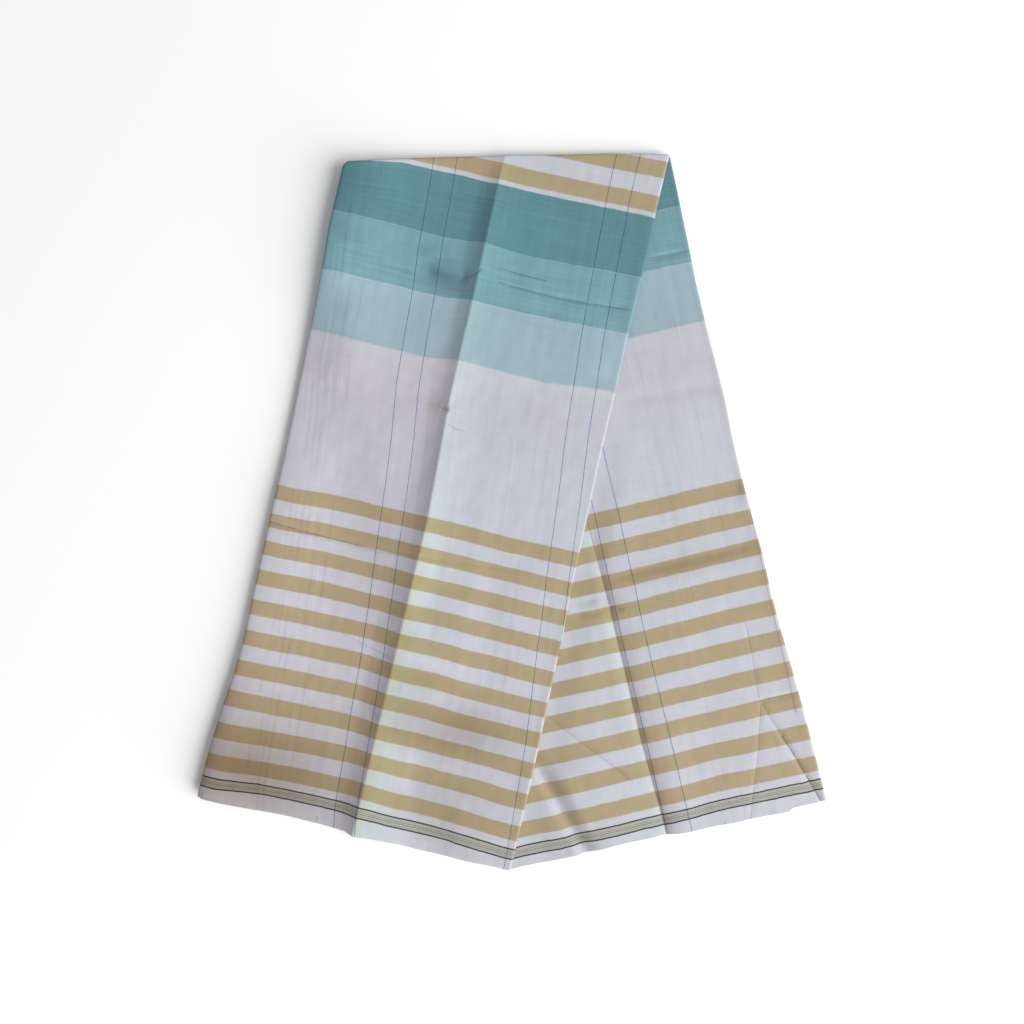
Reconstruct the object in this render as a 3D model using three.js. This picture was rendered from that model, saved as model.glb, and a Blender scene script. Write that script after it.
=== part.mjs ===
// A lungi: one flat length of woven cotton, folded in three along its length
// and laid down folded over at the top, so that its two ends splay as two legs.
// Millimetres, +Z up. The origin is on the floor under the middle of the outline.
import * as THREE from "three";

// The strip that the cloth is folded to
const STRIP_WIDTH = 398;
const LEG_TILT = THREE.MathUtils.degToRad(12.86);
const FRONT_LENGTH = 821.5;
const BACK_LENGTH = 831.6;

// The layers, drawn thicker than cotton so that each wall is a real solid
const WALL = 1.2;
const SEAM_GAP = 0.3;
const HIDDEN_HEIGHT = 2.4;
const STACK_HEIGHT = HIDDEN_HEIGHT + SEAM_GAP + WALL;
const LOWEST_LAYER = 1.2;
const RIM_HEIGHT = LOWEST_LAYER + SEAM_GAP;
const MIDDLE_LAYER_EDGE = LOWEST_LAYER + SEAM_GAP / 2;

// The rounded folds along the sides and the top
const ROUND = 6;
const ROUND_STEPS = [0, 0.12, 0.42, 1];

// How far the edges of the hidden layers stand back from the outline
const EDGE_BULGE = 0.4;
const EDGE_SETBACK = 0.9;
const CUT_END_SETBACK = 3;

// The packing crease runs along the middle of the strip: a ridge on one face, a valley on the other
const CREASE_AT = 198;
const RIDGE_HEIGHT = 14;
const RIDGE_REACH_OUT = 46;
const RIDGE_REACH_IN = 52;
const RIDGE_POWER = 1.5;
const VALLEY_SHOULDER = 5.5;
const VALLEY_SHOULDER_AT = 30;

// The front leg's outer fold springs up from the floor, most at its two ends
const LOFT_REACH = 38;
const LOFT = [
  { along: 0, height: 6 },
  { along: 80, height: 6 },
  { along: 176, height: 4.5 },
  { along: 265, height: 2 },
  { along: 359, height: 1 },
  { along: 441, height: 1.5 },
  { along: 567, height: 3.5 },
  { along: 725, height: 6 },
  { along: 824, height: 5 },
];

// Stations across the strip, from its outer fold to its inner one, between the rounded folds
const ACROSS = [45, 90, 125, 152, 170, 184, 193, 198, 203, 212, 226, 244, 272, 312, 355];
const ROWS_ALONG = 16;

// The tuck that lies hidden between the legs, under the top fold
const TUCK_DEPTH = 205;
const TUCK_HEIGHT = 2.4;
const TUCK_SIDE_SETBACK = 14;
const TUCK_TOP_SETBACK = 12;
const TUCK_COLUMNS = 9;
const TUCK_ROWS = 7;
const LEAF_ROUND = 2;
const LEAF_GROOVE = 1;

// How far a leg carries on level past the edge of what it lies on, and where it meets the floor
const LEVEL_PAST_EDGE = 40;
const DOWN_PAST_EDGE = 105;
const REST_GAP = 0.4;

// The back leg stays flat under the front one and rises only where it shows
const SHOWS_FROM = 12;
const SHOWS_FULLY = 55;
const BACK_TOP_SETBACK = 9;

// The cloth's colours, as flat tints of its woven stripes
const TINTS = {
  paleGround: 0xc9c6d0,
  teal: 0x6f9ea6,
  ochre: 0xa4947a,
};

const smooth = THREE.MathUtils.smoothstep;
const lerp = THREE.MathUtils.lerp;

// The height of a side fold's round, as a share, at a distance in from its edge.
function roundShare(distance, inset) {
  const reach = THREE.MathUtils.clamp((distance - inset) / (ROUND - inset), 0, 1);
  return Math.sqrt(1 - (1 - reach) ** 2);
}

// A column of a short table of stations, read straight between its rows.
function readTable(table, column, at) {
  const next = table.findIndex((row) => row.along >= at);
  if (next === 0) return table[0][column];
  if (next < 0) return table[table.length - 1][column];
  const before = table[next - 1];
  const after = table[next];
  const share = (at - before.along) / (after.along - before.along);
  return lerp(before[column], after[column], share);
}

// One leg of the folded strip: where it lies, and the small wander of its two side folds.
class Leg {
  constructor({ corner, lean, length, topSlope, topBow, topSetback, outer, inner, restsAt, crown }) {
    Object.assign(this, { corner, lean, length, topSlope, topBow, topSetback, outer, inner });
    this.restsAt = restsAt;
    this.crown = crown;
    this.across = new THREE.Vector2(-lean * Math.cos(LEG_TILT), -Math.sin(LEG_TILT));
    this.along = new THREE.Vector2(lean * Math.sin(LEG_TILT), -Math.cos(LEG_TILT));
  }

  // The place on the floor of a point given across and along the leg.
  place(across, along) {
    return new THREE.Vector2(this.corner.x, this.corner.y)
      .addScaledVector(this.across, across)
      .addScaledVector(this.along, along);
  }

  // Where the top fold crosses the leg.
  topAt(across) {
    const share = across / STRIP_WIDTH;
    return this.topSetback - this.topSlope * across - this.topBow * Math.sin(Math.PI * share);
  }

  // One grid of stations over the leg, each with its distances from the folds.
  // The edge distances are those of the outline itself, whatever the inset of the grid.
  stations(inset, endSetback) {
    const border = ROUND_STEPS.map((step) => ({ at: lerp(inset, ROUND, step), edge: step * ROUND }));
    const columns = [
      ...border,
      ...ACROSS.map((at) => ({ at, edge: at })),
      ...border.toReversed().map(({ at, edge }) => ({ at: STRIP_WIDTH - at, edge: STRIP_WIDTH - edge })),
    ];
    const rows = [
      ...border.map(({ at, edge }) => ({ at, edge, share: 0 })),
      ...Array.from({ length: ROWS_ALONG }, (_, k) => {
        return { at: ROUND, edge: ROUND, share: (k + 1) / ROWS_ALONG };
      }),
    ];
    return rows.map((row) =>
      columns.map((column) => {
        const top = this.topAt(column.at);
        const run = this.length - top - row.at;
        const setback = row.share === 1 ? endSetback : 0;
        const along = top + row.at + run * row.share - setback;
        const share = column.at / STRIP_WIDTH;
        const outerShift = readTable(this.outer, "shift", along);
        const innerShift = readTable(this.inner, "shift", along);
        return {
          spot: this.place(column.at + lerp(outerShift, innerShift, share), along),
          across: column.at,
          along,
          fromOuter: column.at,
          fromInner: STRIP_WIDTH - column.at,
          fromTop: along - top,
          edgeFromOuter: column.edge,
          edgeFromTop: row.edge + run * row.share,
        };
      }),
    );
  }

  // The share of full height that the rounded folds leave at a station.
  roundedTo(station, inset) {
    return (
      roundShare(station.fromOuter, inset) *
      roundShare(station.fromInner, inset) *
      roundShare(station.fromTop, inset)
    );
  }

  // The full height of the top layer's outer face, clear of the rounded folds.
  fullHeight(station) {
    return this.crown(station) + STACK_HEIGHT;
  }

  // A grid of points: from a height at the edge up to the full height less a depth.
  grid({ inset, endSetback, edgeHeight, depth }) {
    return this.stations(inset, endSetback).map((row) =>
      row.map((station) => {
        const low = this.restsAt(station) + edgeHeight;
        const high = this.fullHeight(station) - depth;
        const height = lerp(low, high, this.roundedTo(station, inset));
        return new THREE.Vector3(station.spot.x, station.spot.y, height);
      }),
    );
  }

  // A flat-lying grid at a set height above the underside.
  lowGrid({ inset, endSetback, height }) {
    return this.stations(inset, endSetback).map((row) =>
      row.map((station) => {
        return new THREE.Vector3(station.spot.x, station.spot.y, this.restsAt(station) + height);
      }),
    );
  }

  // The layer that shows: a wall that turns down over both side folds and the top fold.
  topLayer() {
    const outside = this.grid({ inset: 0, endSetback: 0, edgeHeight: RIM_HEIGHT, depth: 0 });
    const inside = this.grid({ inset: WALL, endSetback: 0, edgeHeight: RIM_HEIGHT, depth: WALL });
    return closedSheet(outside, [], inside, this.lean < 0);
  }

  // The two layers under it, as one solid whose lowest layer shows as a lip all round.
  hiddenLayers() {
    const inset = WALL + SEAM_GAP;
    const upper = this.grid({
      inset,
      endSetback: CUT_END_SETBACK,
      edgeHeight: MIDDLE_LAYER_EDGE,
      depth: inset,
    });
    const rings = [
      { inset, endSetback: CUT_END_SETBACK, height: LOWEST_LAYER },
      { inset: EDGE_SETBACK, endSetback: EDGE_SETBACK, height: LOWEST_LAYER },
      { inset: EDGE_BULGE, endSetback: EDGE_BULGE, height: LOWEST_LAYER / 2 },
    ].map((ring) => this.lowGrid(ring));
    const lower = this.lowGrid({ inset: EDGE_SETBACK, endSetback: EDGE_SETBACK, height: 0 });
    return closedSheet(upper, rings, lower, this.lean < 0);
  }
}

// The rows and columns met on one walk round the border of a grid.
function borderWalk(rowCount, columnCount) {
  const walk = [];
  for (let column = 0; column < columnCount - 1; column++) walk.push([0, column]);
  for (let row = 0; row < rowCount - 1; row++) walk.push([row, columnCount - 1]);
  for (let column = columnCount - 1; column > 0; column--) walk.push([rowCount - 1, column]);
  for (let row = rowCount - 1; row > 0; row--) walk.push([row, 0]);
  return walk;
}

// A closed body: an upper grid, any rings round its border, and a lower grid.
// Only the border of each ring is used. Mirrored grids have their faces turned round.
function closedSheet(upper, rings, lower, mirrored) {
  const rowCount = upper.length;
  const columnCount = upper[0].length;
  const walk = borderWalk(rowCount, columnCount);
  const points = [];
  const index = [];
  const addGrid = (grid) => {
    const start = points.length;
    grid.forEach((row) => points.push(...row));
    return (row, column) => start + row * columnCount + column;
  };
  const addTriangle = (a, b, c) => {
    if (mirrored) index.push(a, c, b);
    else index.push(a, b, c);
  };
  const upperAt = addGrid(upper);
  const lowerAt = addGrid(lower);
  for (let row = 0; row < rowCount - 1; row++) {
    for (let column = 0; column < columnCount - 1; column++) {
      const corners = [
        [row, column],
        [row, column + 1],
        [row + 1, column + 1],
        [row + 1, column],
      ];
      const [a, b, c, d] = corners.map((corner) => upperAt(...corner));
      addTriangle(a, b, c);
      addTriangle(a, c, d);
      const [e, f, g, h] = corners.map((corner) => lowerAt(...corner));
      addTriangle(e, g, f);
      addTriangle(e, h, g);
    }
  }
  const loops = [
    walk.map(([row, column]) => upperAt(row, column)),
    ...rings.map((grid) =>
      walk.map(([row, column]) => {
        points.push(grid[row][column]);
        return points.length - 1;
      }),
    ),
    walk.map(([row, column]) => lowerAt(row, column)),
  ];
  for (let level = 0; level < loops.length - 1; level++) {
    for (let k = 0; k < walk.length; k++) {
      const next = (k + 1) % walk.length;
      addTriangle(loops[level][k], loops[level + 1][k], loops[level + 1][next]);
      addTriangle(loops[level][k], loops[level + 1][next], loops[level][next]);
    }
  }
  const geometry = new THREE.BufferGeometry().setFromPoints(points);
  geometry.setIndex(index);
  geometry.computeVertexNormals();
  return geometry;
}

// How far a spot lies to the left of a line that runs from one point to another.
function leftOf(spot, from, to) {
  const run = new THREE.Vector2().subVectors(to, from).normalize();
  return run.x * (spot.y - from.y) - run.y * (spot.x - from.x);
}

// The height of the centre crease as a ridge, at a distance from its line.
function ridge(distance) {
  const reach = distance < 0 ? RIDGE_REACH_OUT : RIDGE_REACH_IN;
  const share = Math.max(0, 1 - Math.abs(distance) / reach);
  return RIDGE_HEIGHT * share ** RIDGE_POWER;
}

// The height of the cloth beside the centre crease where it is a valley.
function valley(distance) {
  const share = Math.abs(distance) / VALLEY_SHOULDER_AT;
  return VALLEY_SHOULDER * share * Math.exp(1 - share);
}

// The back leg: its outer side is on the right, and it lies flat on the floor.
const backLeg = new Leg({
  corner: { x: 200.3, y: 449.2 },
  lean: 1,
  length: BACK_LENGTH,
  topSlope: 0.2058,
  topBow: 4.5,
  topSetback: BACK_TOP_SETBACK,
  outer: [
    { along: 0, shift: 1 },
    { along: 212, shift: 4.5 },
    { along: 316, shift: 1.8 },
    { along: 419, shift: 5.2 },
    { along: 524, shift: -0.6 },
    { along: 732, shift: -8.6 },
    { along: 832, shift: -8 },
  ],
  inner: [
    { along: 0, shift: 0 },
    { along: 832, shift: 2 },
  ],
  restsAt: () => 0,
  crown: (station) => {
    const shown = smooth(rightOfFrontLeg(station.spot), SHOWS_FROM, SHOWS_FULLY);
    return shown * valley(station.across - CREASE_AT);
  },
});

// The front leg: its outer side is on the left, and its inner part lies on the back leg.
const frontLeg = new Leg({
  corner: { x: -210.4, y: 440.4 },
  lean: -1,
  length: FRONT_LENGTH,
  topSlope: 0.251,
  topBow: 4.5,
  topSetback: 0,
  outer: [
    { along: 0, shift: 0 },
    { along: 821, shift: 0 },
  ],
  inner: [
    { along: -100, shift: 0.5 },
    { along: 131, shift: -2.4 },
    { along: 418, shift: -5.3 },
    { along: 656, shift: 1.2 },
    { along: 821, shift: 2.2 },
  ],
  restsAt: (station) => {
    const wrapped = smooth(station.edgeFromTop, 0, ROUND) * smooth(station.edgeFromOuter, 0, ROUND);
    return liftOver(station.spot) * wrapped;
  },
  crown: (station) => {
    const loft = readTable(LOFT, "height", station.along) * Math.exp(-station.fromOuter / LOFT_REACH);
    return liftOver(station.spot) + loft + ridge(station.across - CREASE_AT);
  },
});

// How far a spot lies to the right of the front leg's inner fold.
function rightOfFrontLeg(spot) {
  const top = frontLeg.place(STRIP_WIDTH, frontLeg.topAt(STRIP_WIDTH));
  const end = frontLeg.place(STRIP_WIDTH, FRONT_LENGTH);
  return leftOf(spot, top, end);
}

// How far a spot lies to the left of the back leg's inner fold.
function leftOfBackLeg(spot) {
  const top = backLeg.place(STRIP_WIDTH, backLeg.topAt(STRIP_WIDTH));
  const end = backLeg.place(STRIP_WIDTH, BACK_LENGTH);
  return -leftOf(spot, top, end);
}

// The four corners of the tuck, set back from the folds of both legs.
function tuckCorners() {
  const low = backLeg.corner.y - TUCK_DEPTH;
  const onBackFold = (y) => {
    const along = (backLeg.corner.y - STRIP_WIDTH * Math.sin(LEG_TILT) - y) / Math.cos(LEG_TILT);
    return backLeg.place(STRIP_WIDTH, along).x + TUCK_SIDE_SETBACK;
  };
  const onFrontFold = (y) => {
    const along = (frontLeg.corner.y - STRIP_WIDTH * Math.sin(LEG_TILT) - y) / Math.cos(LEG_TILT);
    return frontLeg.place(STRIP_WIDTH, along).x - TUCK_SIDE_SETBACK;
  };
  const high = frontLeg.corner.y - TUCK_TOP_SETBACK;
  return {
    topLeft: new THREE.Vector2(onBackFold(high), high),
    topRight: new THREE.Vector2(onFrontFold(high), high),
    lowLeft: new THREE.Vector2(onBackFold(low), low),
    lowRight: new THREE.Vector2(onFrontFold(low), low),
  };
}

// How far a spot lies outside the tuck.
function outsideTuck(spot) {
  const { topLeft, topRight, lowLeft, lowRight } = tuckCorners();
  return Math.max(
    -leftOf(spot, topLeft, lowLeft),
    -leftOf(spot, lowLeft, lowRight),
    -leftOf(spot, lowRight, topRight),
  );
}

// The height that the front leg is carried at by the back leg and by the tuck.
function liftOver(spot) {
  const onBack = 1 - smooth(leftOfBackLeg(spot), LEVEL_PAST_EDGE, DOWN_PAST_EDGE);
  const onTuck = 1 - smooth(outsideTuck(spot), LEVEL_PAST_EDGE, DOWN_PAST_EDGE);
  return onBack * (STACK_HEIGHT + REST_GAP) + onTuck * (TUCK_HEIGHT + REST_GAP);
}

// The tuck's solid: a low pillow with a groove between its two leaves.
function tuckSolid() {
  const { topLeft, topRight, lowLeft, lowRight } = tuckCorners();
  const base = STACK_HEIGHT + REST_GAP;
  const leaf = TUCK_HEIGHT / 2;
  const width = topLeft.distanceTo(topRight);
  const sharesOf = (count, inset) =>
    Array.from({ length: count }, (_, k) => lerp(inset, 1 - inset, k / (count - 1)));
  const gridAt = (setback, height) =>
    sharesOf(TUCK_ROWS, setback / TUCK_DEPTH).map((down) => {
      const left = new THREE.Vector2().lerpVectors(topLeft, lowLeft, down);
      const right = new THREE.Vector2().lerpVectors(topRight, lowRight, down);
      return sharesOf(TUCK_COLUMNS, setback / width).map((share) => {
        const spot = new THREE.Vector2().lerpVectors(left, right, share);
        return new THREE.Vector3(spot.x, spot.y, height);
      });
    });
  const rings = [
    gridAt(0, base + leaf * 1.5),
    gridAt(LEAF_GROOVE, base + leaf),
    gridAt(0, base + leaf / 2),
  ];
  const upper = gridAt(LEAF_ROUND, base + TUCK_HEIGHT);
  const lower = gridAt(LEAF_ROUND, base);
  return closedSheet(upper, rings, lower, true);
}

// A named piece of the cloth.
function piece(name, geometry, tint) {
  const material = new THREE.MeshStandardMaterial({ color: tint, roughness: 0.85, metalness: 0 });
  const mesh = new THREE.Mesh(geometry, material);
  mesh.name = name;
  return mesh;
}

const lungi = new THREE.Group();
lungi.add(
  piece("front_leg_top_layer", frontLeg.topLayer(), TINTS.paleGround),
  piece("front_leg_hidden_layers", frontLeg.hiddenLayers(), TINTS.teal),
  piece("back_leg_top_layer", backLeg.topLayer(), TINTS.paleGround),
  piece("back_leg_hidden_layers", backLeg.hiddenLayers(), TINTS.teal),
  piece("top_tuck", tuckSolid(), TINTS.ochre),
);

// The middle of the outline is put over the origin.
const middle = new THREE.Box3().setFromObject(lungi).getCenter(new THREE.Vector3());
lungi.position.set(-middle.x, -middle.y, 0);

export default lungi;
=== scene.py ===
import logging
import math
from dataclasses import dataclass, field
from enum import Enum

import bpy
import numpy as np
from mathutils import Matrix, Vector


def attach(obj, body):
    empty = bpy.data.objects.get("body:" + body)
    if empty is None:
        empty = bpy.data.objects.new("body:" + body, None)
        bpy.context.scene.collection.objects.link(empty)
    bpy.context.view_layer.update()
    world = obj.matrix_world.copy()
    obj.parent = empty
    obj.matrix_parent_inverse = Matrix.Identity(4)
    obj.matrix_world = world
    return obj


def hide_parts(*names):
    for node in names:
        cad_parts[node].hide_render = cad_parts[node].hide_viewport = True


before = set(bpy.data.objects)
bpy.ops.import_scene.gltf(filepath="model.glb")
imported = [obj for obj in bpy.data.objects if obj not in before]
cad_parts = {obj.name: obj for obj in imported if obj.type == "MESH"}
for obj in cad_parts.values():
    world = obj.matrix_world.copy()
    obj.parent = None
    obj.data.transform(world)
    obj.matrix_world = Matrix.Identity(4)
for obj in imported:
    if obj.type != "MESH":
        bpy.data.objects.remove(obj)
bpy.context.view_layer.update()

log = logging.getLogger("lungi")

MM = 0.001

# The strip that the cloth is folded to, in millimetres, as in the solids, how far its
# legs lean, and the shift from the legs' own places to the middle of the solids
STRIP_WIDTH = 398.0
LEG_TILT = math.radians(12.86)
STACK_HEIGHT = 3.9
REST_GAP = 0.4
FRAME_SHIFT = (0.025, 0.246)

# How far the front leg is carried on past the edges of what it lies on
LEVEL_PAST_EDGE = 40.0
DOWN_PAST_EDGE = 105.0

# The tuck's size, and how far its sides stand in from the legs' inner folds
TUCK_DEPTH = 205.0
TUCK_HEIGHT = 2.4
TUCK_SIDE_SETBACK = 14.0

# Where the upper white ground turns lilac: its middle down a leg and its reach
UPPER_WHITE_AT = 262.0
UPPER_WHITE_REACH = 60.0

# A place above all of the cloth, in metres
FAR_UP = -10.0

# Small values that keep sums safe, and how finely stations are spaced out
LEAST_FADE = 0.01
LEAST_LENGTH = 1e-9
PITCH_SAMPLES = 4001

Table = tuple[tuple[float, float], ...]


def smooth(value: np.ndarray, low: float, high: float) -> np.ndarray:
    """Rises softly from 0 at low to 1 at high."""
    share = np.clip((value - low) / (high - low), 0.0, 1.0)
    return share * share * (3.0 - 2.0 * share)


def read(table: Table, at: np.ndarray) -> np.ndarray:
    """Reads a table of (station, value) rows straight between its rows."""
    stations, values = zip(*table)
    return np.interp(at, stations, values)


def spaced(low: float, high: float, pitch: Table) -> np.ndarray:
    """Stations from low to high, as far apart as a table asks at each place.

    Args:
        low: the first station.
        high: the last one.
        pitch: rows of a place and the distance between stations there.

    Returns:
        The stations, in order.
    """
    fine = np.linspace(low, high, PITCH_SAMPLES)
    walked = np.concatenate([[0.0], np.cumsum(np.diff(fine) / read(pitch, fine[1:]))])
    return np.interp(np.linspace(0.0, walked[-1], math.ceil(walked[-1]) + 1), walked, fine)


def upper_white(along: np.ndarray) -> np.ndarray:
    """How far each point down a leg lies in the upper white ground, from 0 to 1."""
    return np.exp(-(((along - UPPER_WHITE_AT) / UPPER_WHITE_REACH) ** 2))


class Lean(Enum):
    """Which way a leg runs down from the top fold."""

    FRONT = -1
    BACK = 1


class Profile(Enum):
    """The section of a line pressed or rumpled into the cloth."""

    FOLD = "sharp at the line"
    SWELL = "round over the line"


@dataclass(frozen=True)
class Crease:
    """One line in the cloth, laid out in millimetres across and along a leg.

    A positive height is a ridge and a negative one a trough. A line above 0 says
    how dark a hair of shade the finish draws along it.
    """

    path: tuple[tuple[float, float], ...]
    height: float
    reach: tuple[float, float]
    profile: Profile = Profile.FOLD
    power: float = 1.6
    fade: tuple[float, float] = (18.0, 18.0)
    strengths: tuple[float, ...] = ()
    line: float = 0.0
    line_width: float = 1.2

    def lift(self, across: np.ndarray, along: np.ndarray) -> np.ndarray:
        """The height that the line adds at each point.

        Args:
            across: millimetres from the outer fold.
            along: millimetres down the leg.

        Returns:
            The added height in millimetres.
        """
        points = np.array(self.path, float)
        runs = np.diff(points, axis=0)
        lengths = np.hypot(runs[:, 0], runs[:, 1])
        starts = np.concatenate([[0.0], np.cumsum(lengths)])
        total = starts[-1]
        nearest = np.full(across.shape, math.inf)
        side = np.zeros(across.shape)
        station = np.zeros(across.shape)
        for k, (run, length) in enumerate(zip(runs, lengths)):
            direction = run / length
            da, ds = across - points[k, 0], along - points[k, 1]
            t = np.clip(da * direction[0] + ds * direction[1], 0.0, length)
            away = np.hypot(da - t * direction[0], ds - t * direction[1])
            closer = away < nearest
            turn = direction[0] * ds - direction[1] * da
            nearest = np.where(closer, away, nearest)
            side = np.where(closer, np.sign(turn), side)
            station = np.where(closer, starts[k] + t, station)
        reach = np.where(side > 0, self.reach[1], self.reach[0])
        share = np.clip(1.0 - nearest / reach, 0.0, 1.0)
        folded = self.profile is Profile.FOLD
        section = share**self.power if folded else smooth(share, 0.0, 1.0)
        first, last = (max(fade, LEAST_FADE) for fade in self.fade)
        ends = smooth(station, -LEAST_FADE, first) * smooth(total - station, -LEAST_FADE, last)
        strength = 1.0
        if self.strengths:
            marks = np.linspace(0.0, total, len(self.strengths))
            strength = np.interp(station, marks, self.strengths)
        return self.height * section * ends * strength


@dataclass(frozen=True)
class LegPlan:
    """Where one leg of the folded strip lies, and the wander of its edges."""

    lean: Lean
    corner: tuple[float, float]
    length: float
    top_slope: float
    top_bow: float
    top_setback: Table
    corner_radii: tuple[float, float]
    cut_end: Table
    outer_wander: Table
    inner_wander: Table

    @property
    def across_direction(self) -> tuple[float, float]:
        """The direction on the floor from the outer fold to the inner one."""
        return (-self.lean.value * math.cos(LEG_TILT), -math.sin(LEG_TILT))

    @property
    def along_direction(self) -> tuple[float, float]:
        """The direction on the floor down the leg."""
        return (self.lean.value * math.sin(LEG_TILT), -math.cos(LEG_TILT))

    def place(self, across: np.ndarray, along: np.ndarray) -> tuple[np.ndarray, np.ndarray]:
        """The place on the floor of points given across and along the leg.

        Args:
            across: millimetres from the outer fold.
            along: millimetres down the leg.

        Returns:
            x and y in millimetres.
        """
        drawn = self.drawn(across, along)
        u, v = self.across_direction, self.along_direction
        x = self.corner[0] + u[0] * drawn + v[0] * along
        y = self.corner[1] + u[1] * drawn + v[1] * along
        return x, y

    def drawn(self, across: np.ndarray, along: np.ndarray) -> np.ndarray:
        """Where points across the leg come to lie once its edges wander.

        Args:
            across: millimetres from the outer fold.
            along: millimetres down the leg.

        Returns:
            Millimetres from the outer fold, as it comes to lie.
        """
        share = np.clip(across / STRIP_WIDTH, 0.0, 1.0)
        outer, inner = read(self.outer_wander, along), read(self.inner_wander, along)
        return across + outer * (1 - share) + inner * share

    def top_at(self, across: np.ndarray) -> np.ndarray:
        """Where the top fold crosses the leg, in millimetres down it."""
        bow = self.top_bow * np.sin(math.pi * across / STRIP_WIDTH)
        return read(self.top_setback, across) - self.top_slope * across - bow

    def beyond_inner_fold(self, x: np.ndarray, y: np.ndarray, end: float) -> np.ndarray:
        """How far spots on the floor lie past the leg's inner fold.

        Args:
            x: millimetres to the right on the floor.
            y: millimetres up the page.
            end: how far down the leg its inner fold ends.

        Returns:
            Millimetres past the fold, below 0 on the leg itself.
        """
        fold = np.array(STRIP_WIDTH)
        start = self.place(fold, self.top_at(fold))
        stop = self.place(fold, np.array(end))
        run = np.array([stop[0] - start[0], stop[1] - start[1]], float)
        run /= np.hypot(*run)
        turn = run[0] * (y - start[1]) - run[1] * (x - start[0])
        return -self.lean.value * turn


FRONT = LegPlan(
    lean=Lean.FRONT,
    corner=(-210.4, 440.4),
    length=821.5,
    top_slope=0.251,
    top_bow=4.5,
    top_setback=(
        (0.0, 4.0), (25.0, 4.0), (50.0, 2.4), (90.0, 1.4), (280.0, 1.6), (320.0, 0.0), (398.0, 0.3)
    ),
    corner_radii=(6.5, 2.5),
    cut_end=(
        (0.0, -4.0),
        (45.0, -4.8),
        (63.0, -3.2),
        (81.0, -2.2),
        (116.0, -2.0),
        (134.0, -0.8),
        (186.0, -0.6),
        (198.0, 2.6),
        (206.0, 2.6),
        (222.0, 1.3),
        (275.0, 2.3),
        (398.0, 2.0),
    ),
    outer_wander=(
        (0.0, 1.9),
        (88.0, 1.3),
        (126.0, 3.2),
        (189.0, 4.6),
        (252.0, 5.0),
        (315.0, 6.4),
        (378.0, 8.0),
        (554.0, 8.9),
        (605.0, 10.4),
        (655.0, 8.4),
        (706.0, 2.8),
        (756.0, -0.4),
        (794.0, -2.0),
    ),
    inner_wander=(
        (-100.0, -2.0),
        (-25.0, -2.9),
        (0.0, -1.2),
        (151.0, -2.6),
        (202.0, -1.8),
        (302.0, -2.2),
        (353.0, -1.2),
        (454.0, -0.6),
        (504.0, 1.5),
        (605.0, 2.6),
        (706.0, 4.0),
        (821.0, 3.4),
    ),
)

BACK = LegPlan(
    lean=Lean.BACK,
    corner=(200.3, 449.2),
    length=831.6,
    top_slope=0.2058,
    top_bow=4.5,
    top_setback=((0.0, -0.5), (24.0, -1.0), (40.0, 3.0), (120.0, 9.0), (398.0, 9.0)),
    corner_radii=(2.5, 6.0),
    cut_end=(
        (0.0, 5.0), (43.0, 5.0), (46.5, 8.0), (120.0, 6.5), (185.0, 3.5), (205.0, 1.5), (398.0, 1.5)
    ),
    outer_wander=(
        (0.0, 1.0),
        (113.0, 2.9),
        (164.0, 4.3),
        (214.0, 3.9),
        (316.0, 1.2),
        (365.0, 2.8),
        (416.0, 2.7),
        (466.0, 1.1),
        (517.0, -1.5),
        (567.0, -1.0),
        (617.0, -2.9),
        (718.0, -8.1),
        (832.0, -10.8),
    ),
    inner_wander=((0.0, 0.0), (832.0, 2.0)),
)


@dataclass(frozen=True)
class Support:
    """What carries the front leg: the back leg and the tuck between them."""

    def outside_tuck(self, x: np.ndarray, y: np.ndarray) -> np.ndarray:
        """How far spots lie outside the tuck.

        Args:
            x: millimetres to the right on the floor.
            y: millimetres up the page.

        Returns:
            Millimetres outside it, below 0 on the tuck itself.
        """
        past_back = -BACK.beyond_inner_fold(x, y, BACK.length) + TUCK_SIDE_SETBACK
        past_front = -FRONT.beyond_inner_fold(x, y, FRONT.length) + TUCK_SIDE_SETBACK
        low = BACK.corner[1] - TUCK_DEPTH
        return np.maximum(np.maximum(-past_back, -past_front), low - y)

    def on_back(self, x: np.ndarray, y: np.ndarray) -> np.ndarray:
        """The share of the back leg's height that carries each spot."""
        past_edge = BACK.beyond_inner_fold(x, y, BACK.length)
        return 1.0 - smooth(past_edge, LEVEL_PAST_EDGE, DOWN_PAST_EDGE)

    def on_tuck(self, x: np.ndarray, y: np.ndarray) -> np.ndarray:
        """The share of the tuck's height that carries each spot."""
        return 1.0 - smooth(self.outside_tuck(x, y), LEVEL_PAST_EDGE, DOWN_PAST_EDGE)

    def height(self, x: np.ndarray, y: np.ndarray) -> np.ndarray:
        """The height that the front leg is carried at, in millimetres."""
        carried = self.on_back(x, y) * (STACK_HEIGHT + REST_GAP)
        return carried + self.on_tuck(x, y) * (TUCK_HEIGHT + REST_GAP)


@dataclass(frozen=True)
class Swells:
    """The faint uneven swell of cloth that has lain folded, as a few crossing waves."""

    seed: int
    height: float
    lengths: tuple[float, float]
    waves: int = 14
    stretch: float = 1.8

    def lift(self, across: np.ndarray, along: np.ndarray) -> np.ndarray:
        """The height that the swell adds at each point.

        Args:
            across: millimetres from the outer fold.
            along: millimetres down the leg.

        Returns:
            The added height in millimetres.
        """
        draw = np.random.default_rng(self.seed)
        total = np.zeros(across.shape)
        for _ in range(self.waves):
            length = draw.uniform(*self.lengths)
            angle = draw.uniform(0.0, math.pi)
            phase = draw.uniform(0.0, 2 * math.pi)
            a = math.cos(angle) * across
            s = math.sin(angle) * along / self.stretch
            total += np.sin(2 * math.pi * (a + s) / length + phase)
        return self.height * total / math.sqrt(self.waves)


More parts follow.
